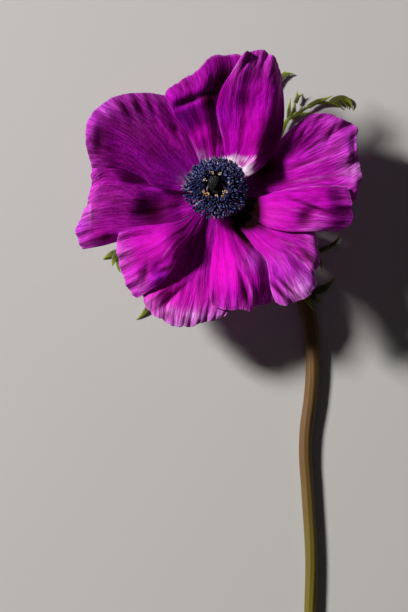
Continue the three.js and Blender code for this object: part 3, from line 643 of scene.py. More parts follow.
            (-20.2, -21.5, -22, -29.4, 0.9, 0.74), (-11.6, -22.6, -18.2, -26, 0.8, 0.72),
            (-10, -12, -13, -20, 2.5, 0.25), (-9, -11, -17, -23, 0.35, -0.21),
        ],
    },
    "tepal_left": {
        "heading": -167, "layer": 0,
        "left": [
            (-9, -8.6), (-18, -14), (-25, -15.8), (-29.5, -16.2), (-33.5, -17.3), (-39.6, -18.4),
        ],
        "rim": [(-41.3, -15.5), (-41.6, -12), (-40, -8.2), (-38.3, -4), (-37.3, 1)],
        "right": [(-9, 1.2), (-18, 4.4), (-26, 8), (-33, 9.4), (-37, 6.4)],
        "rise": [0, 2.2, 5.4, 8.6, 12.4],
        "folds": [
            (-26.5, -6.2, -11, -6.6, 4.8, -3.9), (-15, -6.5, -7, -6.5, 3.5, -1.6),
            (-26, -9, -22, -0.5, 2.6, 0.3), (-23, -0.5, -11, -1, 2, 1.2),
            (-37.5, -3, -37, -12, 0.5, 0.25), (-36, -14.5, -31, -13.6, 1.0, 0.6),
        ],
        "rolls": [("rim", 0, 1, 2.0, -1.4), ("left", 0.6, 0.95, 1.8, -1.6)],
        "creases": (9, 0.2, 0.4), "ruffle": (3, 0.5), "frill": 0.2, "pale": (0.02, 0.15, 4),
        "pale_and_highlit_patches": [(-30, -3, 5, 0.06), (-38, -8, 3, 0.2)],
        "tints": [(-33, -4, 7, 0.3), (-18, 0, 4, -0.2), (-41, -11, 3, -0.5), (-36, -14, 3, 0.3)],
        "white_to": 6.5,
        "shade_and_highlight_marks": [
            (-24.6, -7, -12, -7.4, 4.4, 0.74), (-37.6, -3, -37.2, -9, 0.3, -0.35),
            (-24, -1.6, -13, -2.2, 0.7, -0.17), (-38, -17, -31, -14.8, 0.35, -0.24),
            (-37, -15.5, -30, -13.5, 0.8, 0.6),
        ],
    },
    "tepal_left_upper": {
        "heading": 149, "layer": 1,
        "left": [(-8, -1), (-17.7, 0.3), (-22, 3.3), (-28.1, 5.6), (-36.8, 5.8)],
        "rim": [
            (-38.2, 10.7), (-38.7, 15.6), (-38, 20.4), (-33, 25.7), (-28.1, 27.8), (-22, 28.6),
            (-16, 28),
        ],
        "right": [(-2.4, 8), (-5, 16.6), (-8.5, 22.6), (-11, 27.4)],
        "rise": [1, 4.2, 9.8, 15.4, 21.5],
        "folds": [
            (-35.5, 25, -29.5, 20, 0.8, 0.4), (-31.5, 27, -26.5, 20, 0.8, 0.5),
            (-27, 28.5, -22.5, 20, 0.8, 0.45), (-23, 29, -19, 20, 0.8, 0.5),
            (-19, 29, -15.5, 19, 0.8, 0.45), (-14.5, 24, -10.5, 14, 1.4, -0.7),
            (-34.5, 21, -34.5, 7, 1.7, -1.1),
        ],
        "rolls": [("rim", 0, 1, 2.0, -2.2), ("left", 0.3, 0.9, 1.8, -0.8)],
        "creases": (9, 0.2, 0.55), "ruffle": (3, 0.35), "frill": 0.1, "pale": (0.02, 0.12, 3),
        "pale_and_highlit_patches": [(-9.6, 3, 1.7, 0.45), (-32, 23, 2.0, 0.1), (-24, 20, 5, 0.06)],
        "tints": [(-12, 6, 6, -0.3), (-36, 24, 6, -0.3), (-14, 16, 6, 0.2)],
        "white_to": 10.2,
        "shade_and_highlight_marks": [
            (-33.8, 22, -34.2, 8, 3.4, 0.66), (-31, 25.8, -14, 27, 3.0, 0.3),
            (-13, 20, -11.4, 16.4, 0.9, 0.74), (-29, 27, -25, 20, 0.5, 0.72),
            (-21, 28, -17.5, 20, 0.5, 0.58), (-25, 28, -21, 20.5, 0.5, 0.58),
            (-35.5, 25, -31, 20.5, 0.35, -0.35), (-31.5, 26.8, -27, 21, 0.35, -0.35),
            (-27, 28, -23, 21, 0.35, -0.35), (-22.5, 28.4, -19, 21, 0.35, -0.28),
            (-18, 28, -15.5, 21, 0.35, -0.21),
        ],
    },
}

CREPE_CELLS_PER_MM = 1.2  # real cells are some 0.03 mm across, so these are coarse ones that show
# Veins, the fine hatching between them and broad bands: how many in a mm across and along.
VEINS_PER_MM, VEIN_BREAKS_PER_MM = 0.9, 0.1
HATCHES_PER_MM, HATCH_BREAKS_PER_MM = 2.6, 0.32
BANDS_PER_MM, BAND_BREAKS_PER_MM = 0.35, 0.03
HATCH_SHARE, VEIN_SHARE = 0.62, 0.55  # of the hatching in the veins, and of both in the streaks
CLAW_FRINGE = 5.0  # mm by which the veins draw out the edge of the white claw
CLAW_EDGE_FROM, CLAW_EDGE_TO = 1.4, 3.4  # mm over which the white gives way

velvet, tree, output = new_material("velvety_tepal")
# Petal skin: tiny cone-shaped cells give a velvet bloom, and fine veins fan out to the rim. The
# veins follow the blade's own map, which is in mm across and along it.
surface = add(tree, "ShaderNodeUVMap", uv_map="blade")
place = add(tree, "ShaderNodeTexCoord")
veins, hatch, bands = (
    add(
        tree,
        "ShaderNodeTexNoise",
        {
            "Vector": add(
                tree, "ShaderNodeMapping", {"Vector": surface, "Scale": (across, lengthwise, 1)}
            ),
            "Scale": 1.0,
            "Detail": detail,
            "Distortion": distortion,
        },
    )
    for across, lengthwise, detail, distortion in (
        (VEINS_PER_MM, VEIN_BREAKS_PER_MM, 3.0, 0.4),
        (HATCHES_PER_MM, HATCH_BREAKS_PER_MM, 3.0, 0.0),
        (BANDS_PER_MM, BAND_BREAKS_PER_MM, 2.0, 0.0),
    )
)
fine_veins = add(tree, "ShaderNodeMix", {0: HATCH_SHARE, 2: veins, 3: hatch}, data_type="FLOAT")
streaks = add(tree, "ShaderNodeMix", {0: VEIN_SHARE, 2: bands, 3: fine_veins}, data_type="FLOAT")
crepe = add(
    tree,
    "ShaderNodeTexNoise",
    {"Vector": place.outputs["Object"], "Scale": CREPE_CELLS_PER_MM / MM, "Detail": 4.0},
)
# pale also carries painted sheen and highlights, tint partly painted light and sheen, and dark is
# painted shade.
claw, pale, tint, painted_shade = (
    add(tree, "ShaderNodeAttribute", attribute_name=key)
    for key in ("claw_mm", "pale", "tint", "painted_shade")
)
body_amount = add(tree, "ShaderNodeMapRange", {0: streaks, 1: 0.38, 2: 0.62, 3: 0.0, 4: 1.0})
body_colour = add(
    tree,
    "ShaderNodeMix",
    {0: body_amount, 6: linear("#920076"), 7: linear("#CE0ACC")},
    data_type="RGBA",
)
vein_dark = add(tree, "ShaderNodeMapRange", {0: fine_veins, 1: 0.42, 2: 0.52, 3: 0.6, 4: 0.0})
# Rosy places are partly painted light, set where light falls full; violet places are a painted
# sheen.
rosy_light_amount = add(tree, "ShaderNodeMapRange", {0: tint.outputs["Fac"], 1: 0.0, 2: 1.0})
violet_sheen_amount = add(tree, "ShaderNodeMapRange", {0: tint.outputs["Fac"], 1: 0.0, 2: -1.0})
streak = add(tree, "ShaderNodeMapRange", {0: fine_veins, 1: 0.44, 2: 0.6, 3: 0.35, 4: 1.3})
# Pale streaks, which also carry the painted sheen and highlights of rims, edges, patches and
# ridges.
pale_and_sheen_amount = add(
    tree,
    "ShaderNodeMath",
    {0: pale.outputs["Fac"], 1: streak},
    operation="MULTIPLY",
    use_clamp=True,
)
# The deepest painted shadows: where the marks are darkest, the colour turns nearly black.
deepest_shadow_amount = add(
    tree, "ShaderNodeMapRange", {0: painted_shade.outputs["Fac"], 1: 0.94, 2: 0.99, 3: 0.0, 4: 1.0}
)
white_edge = add(
    tree,
    "ShaderNodeMath",
    {0: veins, 1: CLAW_FRINGE, 2: claw.outputs["Fac"]},
    operation="MULTIPLY_ADD",
)
white_amount = add(
    tree, "ShaderNodeMapRange", {0: white_edge, 1: CLAW_EDGE_FROM, 2: CLAW_EDGE_TO, 3: 1.0, 4: 0.0}
)
# Each colour covers the ones before it by its amount: veins, rosy places (partly painted light)
# and violet ones (a painted sheen), pale places with the painted sheen and highlights of rims and
# ridges, painted shade in creases and hollows, the deepest painted shadows and the white claw.
coloured = body_colour
for amount, cover in (
    (vein_dark, "#6E0068"),
    (rosy_light_amount, "#E208BE"),
    (violet_sheen_amount, "#C016E2"),
    (pale_and_sheen_amount, "#DA90DC"),
    (painted_shade.outputs["Fac"], "#3A0020"),
    (deepest_shadow_amount, "#160004"),
    (white_amount, "#F2D6EC"),
):
    coloured = add(
        tree, "ShaderNodeMix", {0: amount, 6: coloured, 7: linear(cover)}, data_type="RGBA"
    )
relief = add(tree, "ShaderNodeMath", {0: crepe, 1: 0.3, 2: fine_veins}, operation="MULTIPLY_ADD")
bump = add(tree, "ShaderNodeBump", {"Height": relief, "Distance": 0.5 * MM, "Strength": 1.0})
skin = add(
    tree,
    "ShaderNodeBsdfPrincipled",
    {
        "Base Color": coloured,
        "Roughness": 0.6,
        "IOR": 1.4,
        "Specular IOR Level": 0.06,
        "Subsurface Weight": 0.12,
        "Subsurface Radius": (1.0, 0.1, 0.8),
        "Subsurface Scale": 0.8 * MM,
        "Sheen Weight": 0.04,
        "Sheen Roughness": 0.35,
        "Sheen Tint": linear("#E6C8F0"),
        "Normal": bump,
    },
)
tree.links.new(skin.outputs[0], output.inputs[0])


def faded(distance, reach):
    """1 where the distance is 0, and hardly anything past twice the reach."""
    return np.exp(-((distance / reach) ** 2))


def eased(x):
    """A smooth step from 0 to 1."""
    x = np.clip(x, 0, 1)
    return x * x * (3 - 2 * x)


def fold_height(x, y, folds):
    """The sum of a tepal's ridges and dents at each point; they fade towards their ends."""
    height = np.zeros_like(x)
    for x0, y0, x1, y1, width, rise in folds:
        dx, dy = x1 - x0, y1 - y0
        u = np.clip(((x - x0) * dx + (y - y0) * dy) / (dx * dx + dy * dy), 0, 1)
        distance = np.hypot(x - x0 - u * dx, y - y0 - u * dy)
        height += rise * (0.3 + 0.7 * np.sin(np.pi * u) ** 2) * faded(distance, width)
    return height


def soft_spots(x, y, spots):
    """The sum of round places that fade outwards: their middle, radius and amount."""
    total = np.zeros_like(x)
    for spot_x, spot_y, reach, amount in spots:
        total += amount * faded(np.hypot(x - spot_x, y - spot_y), reach)
    return total


def wave(count, where, phase):
    """A soft irregular wave: a main beat and two weaker ones that drift against it."""
    main = np.sin(2 * np.pi * count * where + phase)
    drift = np.sin(2 * np.pi * count * 1.63 * where + 2.1 * phase + 0.7)
    ripple = np.sin(2 * np.pi * count * 2.71 * where + 3.7 * phase + 1.9)
    return main + 0.5 * drift + 0.3 * ripple


def crease_height(width, creases, seed):
    """Narrow folds that run out along the veins, each with its own place, length and depth."""
    count, depth, start = creases
    random = np.random.default_rng(seed)
    height = np.zeros_like(OUT + ACROSS)
    for k in range(count):
        place = (k + random.uniform(0.1, 0.9)) / count
        begin = start + random.uniform(-0.2, 0.3)
        end = begin + random.uniform(0.35, 1.0)
        wide = random.uniform(0.6, 1.6)
        deep = depth * random.uniform(0.3, 1.0) * random.choice([-1, -1, 1])
        path = place + random.uniform(-0.05, 0.05) * (OUT - begin)
        faded_in = eased((OUT - begin) / CREASE_FADE_IN)
        along = faded_in * (1 - eased((OUT - end) / CREASE_FADE_OUT))
        height += deep * along * faded((ACROSS - path) * width, wide)
    return height


def tepal_plan(tepal, number):
    """A tepal's points seen from above, their distances to the margins, its length and widths."""
    heading = np.radians(tepal["heading"])
    shift = np.tan(AXIS_LEAN) * tepal["layer"] * CLAW_STEP
    claws = [
        (
            RECEPTACLE_X + CLAW_RADIUS * np.cos(heading + turn),
            RECEPTACLE_Y + shift + CLAW_RADIUS * np.sin(heading + turn),
        )
        for turn in (CLAW_HALF_ANGLE, -CLAW_HALF_ANGLE)
    ]
    left = through([claws[0], *tepal["left"]], TEPAL_ROWS)
    right = through([claws[1], *tepal["right"]], TEPAL_ROWS)
    rim = through([left[-1], *tepal["rim"], right[-1]], TEPAL_COLUMNS)
    s, t = OUT[..., None], ACROSS[..., None]
    base = left[0] * (1 - t) + right[0] * t
    between_margins = left[:, None] * (1 - t) + right[:, None] * t
    claw_to_rim = base * (1 - s) + rim[None] * s
    corners = base * (1 - s) + (left[-1] * (1 - t) + right[-1] * t) * s
    plan = between_margins + claw_to_rim - corners

    length = np.linalg.norm(np.diff((left + right) / 2, axis=0), axis=1).sum()
    width = np.linalg.norm(left - right, axis=1)[:, None]
    to_rim = (1 - OUT) * length + 0 * ACROSS
    margins = {"left": ACROSS * width, "right": (1 - ACROSS) * width, "rim": to_rim}
    margins["nearest"] = np.minimum.reduce(list(margins.values()))
    scallop = wave(4.5, ACROSS, 1.7 * number) + 0.35 * wave(13, ACROSS, 2.9 * number)
    scallop = tepal["frill"] * scallop * faded(to_rim, SCALLOP_REACH)
    plan = plan + scallop[..., None] * np.array([np.cos(heading), np.sin(heading)])
    return plan, margins, length, width


def tepal_height(tepal, number, x, y, margins, width):
    """The height of a tepal's points over the lowest claws, from its rise to its ruffled rim."""
    radius = np.hypot(x - RECEPTACLE_X, y - RECEPTACLE_Y)
    height = smooth_through(RISE_RADII, tepal["rise"], radius) - FACE_SLOPE * (y - RECEPTACLE_Y)
    height = height + fold_height(x, y, tepal["folds"])
    for margin, begin, end, reach, rise in tepal["rolls"]:
        along = ACROSS + 0 * OUT if margin == "rim" else OUT + 0 * ACROSS
        begun = eased((along - begin + ROLL_FADE) / ROLL_FADE)
        held = begun * eased((end + ROLL_FADE - along) / ROLL_FADE)
        height = height + rise * held * faded(margins[margin], reach)
    height = height + crease_height(width, tepal["creases"], number)
    swelling = eased(OUT / 0.5) * wave(2.5, ACROSS + 0.06 * OUT, 2.3 * number)
    height = height + SWELL_HEIGHT * swelling
    waves, ruffle = tepal["ruffle"]
    ruffled = wave(waves, ACROSS, 1.1 * number) * faded(margins["rim"], RUFFLE_REACH)
    height = height + ruffle * ruffled
    drooping = faded(margins["nearest"], EDGE_DROOP_REACH)
    return height - EDGE_DROOP * drooping * np.clip(radius / EDGE_DROOP_FROM, 0, 1)


def tepal_skin(tepal, x, y, margins):
    """How pale, tinted and dark a tepal is at each point, in part painted light and shade, and how
    far past its white claw.
    """
    radius = np.hypot(x - RECEPTACLE_X, y - RECEPTACLE_Y)
    whole, at_rim, rim_depth = tepal["pale"]
    # The pale rim is mostly a painted sheen; the thin line along the edges is a painted highlight.
    pale = whole * np.clip(OUT * 2, 0, 1) + at_rim * faded(margins["rim"], rim_depth)
    thin_highlight = faded(margins["rim"], EDGE_HIGHLIGHT_WIDTH)
    for margin in tepal.get("highlit_margins", []):
        outer_part = eased((OUT - 0.35) / 0.25)
        thin_highlight = thin_highlight + faded(margins[margin], EDGE_HIGHLIGHT_WIDTH) * outer_part
    # Marks over 0 paint shade in creases, hollows and cast shadows; marks under 0 paint highlights
    # on ridges and edges.
    shade_and_highlight_marks = fold_height(x, y, tepal["shade_and_highlight_marks"])
    pale = pale + EDGE_HIGHLIGHT * thin_highlight + soft_spots(x, y, tepal["pale_and_highlit_patches"])
    return {
        "pale": pale - np.clip(shade_and_highlight_marks, -1, 0),
        "tint": soft_spots(x, y, tepal["tints"]),
        "painted_shade": 1 - (1 - np.clip(shade_and_highlight_marks, 0, DARKEST_SHADE)) ** SHADE_POWER,
        "claw_mm": radius - tepal["white_to"] + soft_spots(x, y, tepal.get("tongues", [])),
    }


def thickened(middle, margins):
    """Points and faces of a closed blade about its middle surface, thinner towards its edge."""
    down_rows, down_columns = np.gradient(middle, axis=0), np.gradient(middle, axis=1)
    normal = np.cross(down_columns, down_rows)
    normal *= np.sign(normal[..., 2:]).mean() / np.linalg.norm(normal, axis=2, keepdims=True)
    rounding = np.sqrt(np.clip(margins["nearest"] / EDGE_ROUNDING, 0, 1))[..., None]
    half = TEPAL_EDGE_HALF_THICKNESS + (TEPAL_HALF_THICKNESS - TEPAL_EDGE_HALF_THICKNESS) * rounding
    upper, lower = middle + normal * half, middle - normal * half
    columns = TEPAL_COLUMNS + 1
    layer = (TEPAL_ROWS + 1) * columns
    faces = []
    for i in range(TEPAL_ROWS):
        for j in range(TEPAL_COLUMNS):
            a, b = i * columns + j, (i + 1) * columns + j
            faces.append((a, a + 1, b + 1, b))
            faces.append((layer + a, layer + b, layer + b + 1, layer + a + 1))
    edge = list(range(TEPAL_COLUMNS))
    edge += [i * columns + TEPAL_COLUMNS for i in range(TEPAL_ROWS)]
    edge += [TEPAL_ROWS * columns + j for j in range(TEPAL_COLUMNS, 0, -1)]
    edge += [i * columns for i in range(TEPAL_ROWS, 0, -1)]
    for k, a in enumerate(edge):
        b = edge[(k + 1) % len(edge)]
        faces.append((a, layer + a, layer + b, b))
    return np.vstack([upper.reshape(-1, 3), lower.reshape(-1, 3)]), faces


for number, (tepal_name, tepal) in enumerate(TEPALS.items()):
    plan, margins, length, width = tepal_plan(tepal, number)
    x, y = plan[..., 0], plan[..., 1]
    height = tepal_height(tepal, number, x, y, margins, width)
    points, faces = thickened(np.dstack([x, y, HEAD_HEIGHT + height]), margins)
    on_both = {
        key: np.tile(here.ravel(), 2) for key, here in tepal_skin(tepal, x, y, margins).items()
    }
    on_both["pale"][len(points) // 2 :] += UNDERSIDE_PALER
    on_both["pale"] = np.clip(on_both["pale"], 0, 1)
    on_both["tint"] = np.clip(on_both["tint"], -1, 1)
    blade_piece = piece_from(tepal_name + "_blade", points, faces, velvet, on_both)
    map_across = (ACROSS - 0.5) * MAP_WIDTH + 0 * OUT + MAP_SPACING * number
    uv = np.tile(np.dstack([map_across, OUT * length + 0 * ACROSS]).reshape(-1, 2), (2, 1))
    blade_map = blade_piece.data.uv_layers.new(name="blade")
    corners = np.empty(len(blade_piece.data.loops), int)
    blade_piece.data.loops.foreach_get("vertex_index", corners)
    blade_map.data.foreach_set("uv", uv[corners].ravel())
    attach(blade_piece, "root")
    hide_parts(tepal_name)

# ---------------------------------------------------------------------------------------------
# Stamens. Three whorls of thin dark filaments rise from the receptacle and bow outwards. Each
# ends in an anther of two lobes with a groove between them, navy blue to black with pollen and
# painted glints.
# ---------------------------------------------------------------------------------------------
# Bluish specks, part pollen dust and part painted glints, drawn as clots.
DUST_AND_GLINTS_PER_MM = 2.6  # clots of dust, because single grains of 0.03 mm don't show

anther_skin, tree, output = new_material("anther_dust_and_glints")
# Anther wall: dark waxy skin under blue-black pollen, so it is dull. Its small bluish specks are
# part pollen dust and part painted glints.
place = add(tree, "ShaderNodeTexCoord")
dust_and_glints = add(
    tree,
    "ShaderNodeTexNoise",
    {"Vector": place.outputs["Object"], "Scale": DUST_AND_GLINTS_PER_MM / MM, "Detail": 2.0},
)
tone = add(tree, "ShaderNodeAttribute", attribute_name="tone")
navy = add(
    tree,
    "ShaderNodeMix",
    {0: tone.outputs["Fac"], 6: linear("#040409"), 7: linear("#161B52")},
    data_type="RGBA",
)
# Where the specks show: pollen dust and painted glints.
dust_and_glint_amount = add(tree, "ShaderNodeMapRange", {0: dust_and_glints, 1: 0.54, 2: 0.68, 3: 0.0, 4: 0.8})
dusted_and_glinting = add(
    tree, "ShaderNodeMix", {0: dust_and_glint_amount, 6: navy, 7: linear("#7482D2")}, data_type="RGBA"
)
bump = add(tree, "ShaderNodeBump", {"Height": dust_and_glints, "Distance": 0.08 * MM, "Strength": 0.6})
skin = add(
    tree,
    "ShaderNodeBsdfPrincipled",
    {"Base Color": dusted_and_glinting, "Roughness": 0.36, "IOR": 1.45, "Normal": bump},
)
tree.links.new(skin.outputs[0], output.inputs[0])


def new_tree(name, **sizes):
    """A geometry tree with one named input for each size, and its two end nodes."""
    tree = bpy.data.node_groups.new(name, "GeometryNodeTree")
    for key, value in sizes.items():
        kind = "NodeSocketInt" if isinstance(value, int) else "NodeSocketFloat"
        tree.interface.new_socket(key, in_out="INPUT", socket_type=kind).default_value = value
    tree.interface.new_socket("Geometry", in_out="OUTPUT", socket_type="NodeSocketGeometry")
    return tree, tree.nodes.new("NodeGroupInput"), tree.nodes.new("NodeGroupOutput")


def finish_tree(tree, output, material, *shapes):
    """Join the shapes, put them on the leaning axis, make them real and set their material."""
    joined = add(tree, "GeometryNodeJoinGeometry")
    for shape in shapes:
        tree.links.new(shape.outputs[0], joined.inputs[0])
    foot = FLOWER_MIDDLE + np.array([RECEPTACLE_X, RECEPTACLE_Y, HEAD_HEIGHT]) * MM
    placed = add(
        tree,
        "GeometryNodeTransform",
        {"Geometry": joined, "Rotation": (-AXIS_LEAN, 0, 0), "Translation": tuple(foot)},
    )
    real = add(tree, "GeometryNodeRealizeInstances", {0: placed})
    covered = add(tree, "GeometryNodeSetMaterial", {"Geometry": real, "Material": material})
    tree.links.new(covered.outputs[0], output.inputs[0])


def grown(name, tree, **sizes):
    """The plain mesh object that a geometry tree makes with these sizes."""
    seedling = bpy.data.objects.new(name + "_seedling", bpy.data.meshes.new(name + "_seedling"))
    bpy.context.scene.collection.objects.link(seedling)
    modifier = seedling.modifiers.new("grow", "NODES")
    modifier.node_group = tree
    for item in tree.interface.items_tree:
        if item.in_out == "INPUT" and item.name in sizes:
            modifier[item.identifier] = sizes[item.name]
    seedling.update_tag()
    shown = seedling.evaluated_get(bpy.context.evaluated_depsgraph_get())
    mesh = bpy.data.meshes.new_from_object(shown)
    bpy.data.objects.remove(seedling)
    mesh.name = name
    while mesh.materials[0] is None:
        mesh.materials.pop(index=0)
    mesh.polygons.foreach_set("use_smooth", [True] * len(mesh.polygons))
    made = bpy.data.objects.new(name, mesh)
    bpy.context.scene.collection.objects.link(made)
    return made


GOLDEN_ANGLE = np.pi * (3 - np.sqrt(5))
REACH_JITTER, TOP_JITTER = 0.25 * MM, 0.45 * MM
TURN_JITTER = 0.1  # radians
SECOND_SEED, THIRD_SEED = 17.0, 31.0  # added to a whorl's seed, for draws of their own
BOW_OUT, BOW_UP = 0.45, 0.85  # where a filament bends, as parts of its reach and rise
FILAMENT_POINTS, FILAMENT_SIDES = 7, 5
ANTHER_SEGMENTS, ANTHER_RINGS = 8, 6
GROOVE_WAIST, GROOVE_FLARE = 0.45, 0.65  # half width at an anther's groove, and its growth
ANTHER_STRAY = (-0.45, -0.45, -0.2), (0.45, 0.45, 0.3)  # how far anthers turn from their lean
SMALLEST_ANTHER, LARGEST_ANTHER = 0.8, 1.25

tree, sizes_in, output = new_tree(
    "stamen_whorl",
    Count=100,
    Inner=4 * MM,
    Outer=8 * MM,
    InnerTop=10 * MM,
    OuterTop=9 * MM,
    RootRadius=3.2 * MM,
    RootHeight=6 * MM,
    AntherLength=1.3 * MM,
    AntherWidth=0.64 * MM,
    AntherLean=0.6,
    FilamentRadius=0.07 * MM,
    Seed=1,
)
size = sizes_in.outputs
index = add(tree, "GeometryNodeInputIndex")
half_on = add(tree, "ShaderNodeMath", {0: index, 1: 0.5}, operation="ADD")
part = add(tree, "ShaderNodeMath", {0: half_on, 1: size["Count"]}, operation="DIVIDE")
# The areas that the whorl's anthers cover are equal, so the square of the radius grows evenly.
inner_area = add(tree, "ShaderNodeMath", {0: size["Inner"], 1: 2.0}, operation="POWER")
outer_area = add(tree, "ShaderNodeMath", {0: size["Outer"], 1: 2.0}, operation="POWER")
area = add(tree, "ShaderNodeMapRange", {0: part, 3: inner_area, 4: outer_area})
ring = add(tree, "ShaderNodeMath", {0: area, 1: 0.5}, operation="POWER")
ring_jitter = add(
    tree, "FunctionNodeRandomValue", {2: -REACH_JITTER, 3: REACH_JITTER, "Seed": size["Seed"]}
)
reach = add(tree, "ShaderNodeMath", {0: ring, 1: ring_jitter}, operation="ADD")
top = add(
    tree,
    "ShaderNodeMapRange",
    {0: reach, 1: size["Inner"], 2: size["Outer"], 3: size["InnerTop"], 4: size["OuterTop"]},
)
second_seed = add(tree, "ShaderNodeMath", {0: size["Seed"], 1: SECOND_SEED}, operation="ADD")
third_seed = add(tree, "ShaderNodeMath", {0: size["Seed"], 1: THIRD_SEED}, operation="ADD")
top_jitter = add(
    tree, "FunctionNodeRandomValue", {2: -TOP_JITTER, 3: TOP_JITTER, "Seed": second_seed}
)
height = add(tree, "ShaderNodeMath", {0: top, 1: top_jitter}, operation="ADD")
turn_jitter = add(
    tree, "FunctionNodeRandomValue", {2: -TURN_JITTER, 3: TURN_JITTER, "Seed": third_seed}
)
turn = add(
    tree, "ShaderNodeMath", {0: index, 1: GOLDEN_ANGLE, 2: turn_jitter}, operation="MULTIPLY_ADD"
)
bow_reach = add(tree, "ShaderNodeMix", {0: BOW_OUT, 2: size["RootRadius"], 3: reach})
bow_height = add(tree, "ShaderNodeMix", {0: BOW_UP, 2: size["RootHeight"], 3: height})
flat_root = add(tree, "ShaderNodeCombineXYZ", {0: size["RootRadius"], 2: size["RootHeight"]})
flat_bow = add(tree, "ShaderNodeCombineXYZ", {0: bow_reach, 2: bow_height})
flat_tip = add(tree, "ShaderNodeCombineXYZ", {0: reach, 2: height})
root, bow, tip = (
    add(tree, "ShaderNodeVectorRotate", {"Vector": flat, "Angle": turn}, rotation_type="Z_AXIS")
    for flat in (flat_root, flat_bow, flat_tip)
)
points = add(tree, "GeometryNodePoints", {"Count": size["Count"], "Position": tip})
rooted = points
for key, field in (("root", root), ("bow", bow), ("tip", tip)):
    rooted = add(
        tree,
        "GeometryNodeStoreNamedAttribute",
        {"Geometry": rooted, "Name": key, "Value": field},
        data_type="FLOAT_VECTOR",
    )
# A filament is a short line on each point, made real and then bent from root to tip.
thread = add(tree, "GeometryNodeCurvePrimitiveLine")
jointed = add(tree, "GeometryNodeResampleCurve", {"Curve": thread, "Count": FILAMENT_POINTS})
threads = add(tree, "GeometryNodeInstanceOnPoints", {"Points": rooted, "Instance": jointed})
real_threads = add(tree, "GeometryNodeRealizeInstances", {0: threads})
along = add(tree, "GeometryNodeSplineParameter")
near, mid, far = (
    add(tree, "GeometryNodeInputNamedAttribute", {"Name": key}, data_type="FLOAT_VECTOR")
    for key in ("root", "bow", "tip")
)
first_half, second_half = (
    add(tree, "ShaderNodeMix", {0: along, 4: start, 5: end}, data_type="VECTOR")
    for start, end in ((near, mid), (mid, far))
)
bent = add(tree, "ShaderNodeMix", {0: along, 4: first_half, 5: second_half}, data_type="VECTOR")
bent_threads = add(tree, "GeometryNodeSetPosition", {"Geometry": real_threads, "Position": bent})
section = add(
    tree,
    "GeometryNodeCurvePrimitiveCircle",
    {"Resolution": FILAMENT_SIDES, "Radius": size["FilamentRadius"]},
    mode="RADIUS",
)
filaments = add(
    tree,
    "GeometryNodeCurveToMesh",
    {"Curve": bent_threads, "Profile Curve": section, "Fill Caps": True},
)
# An anther is a small ball drawn long, with its sides pulled in along the middle.
ball = add(
    tree,
    "GeometryNodeMeshUVSphere",
    {"Segments": ANTHER_SEGMENTS, "Rings": ANTHER_RINGS, "Radius": 1.0},
)
on_ball = add(tree, "GeometryNodeInputPosition")
parts = add(tree, "ShaderNodeSeparateXYZ", {0: on_ball})
off_middle = add(tree, "ShaderNodeMath", {0: parts.outputs[0]}, operation="ABSOLUTE")
pinch = add(
    tree,
    "ShaderNodeMath",
    {0: off_middle, 1: GROOVE_FLARE, 2: GROOVE_WAIST},
    operation="MULTIPLY_ADD",
)
pinched = add(tree, "ShaderNodeMath", {0: parts.outputs[1], 1: pinch}, operation="MULTIPLY")
lobed = add(tree, "ShaderNodeCombineXYZ", {0: parts.outputs[0], 1: pinched, 2: parts.outputs[2]})
half_width = add(tree, "ShaderNodeMath", {0: size["AntherWidth"], 1: 0.5}, operation="MULTIPLY")
half_length = add(tree, "ShaderNodeMath", {0: size["AntherLength"], 1: 0.5}, operation="MULTIPLY")
anther_size = add(tree, "ShaderNodeCombineXYZ", {0: half_width, 1: half_width, 2: half_length})
lobes_sized = add(tree, "ShaderNodeVectorMath", {0: lobed, 1: anther_size}, operation="MULTIPLY")
anther = add(tree, "GeometryNodeSetPosition", {"Geometry": ball, "Position": lobes_sized})
outward = add(
    tree,
    "ShaderNodeVectorRotate",
    {"Vector": (1.0, 0.0, 0.0), "Angle": turn},
    rotation_type="Z_AXIS",
)
leant = add(
    tree,
    "ShaderNodeMix",
    {0: size["AntherLean"], 4: (0.0, 0.0, 1.0), 5: outward},
    data_type="VECTOR",
)
stray = add(
    tree,
    "FunctionNodeRandomValue",
    {0: ANTHER_STRAY[0], 1: ANTHER_STRAY[1], "Seed": second_seed},
    data_type="FLOAT_VECTOR",
)
heading = add(tree, "ShaderNodeVectorMath", {0: leant, 1: stray}, operation="ADD")
stance = add(tree, "FunctionNodeAlignRotationToVector", {"Vector": heading}, axis="Z")
spin = add(
    tree,
    "FunctionNodeRandomValue",
    {0: (0, 0, 0), 1: (0, 0, 2 * np.pi), "Seed": third_seed},
    data_type="FLOAT_VECTOR",
)
spun = add(tree, "FunctionNodeRotateRotation", {0: stance, 1: spin}, rotation_space="LOCAL")
grade = add(
    tree, "FunctionNodeRandomValue", {2: SMALLEST_ANTHER, 3: LARGEST_ANTHER, "Seed": second_seed}
)
tone_value = add(tree, "FunctionNodeRandomValue", {"Seed": third_seed})
toned = add(
    tree,
    "GeometryNodeStoreNamedAttribute",
    {"Geometry": points, "Name": "tone", "Value": tone_value},
    data_type="FLOAT",
)
anthers = add(
    tree,
    "GeometryNodeInstanceOnPoints",
    {"Points": toned, "Instance": anther, "Rotation": spun, "Scale": grade},
)
finish_tree(tree, output, anther_skin, filaments, anthers)
stamen_tree = tree

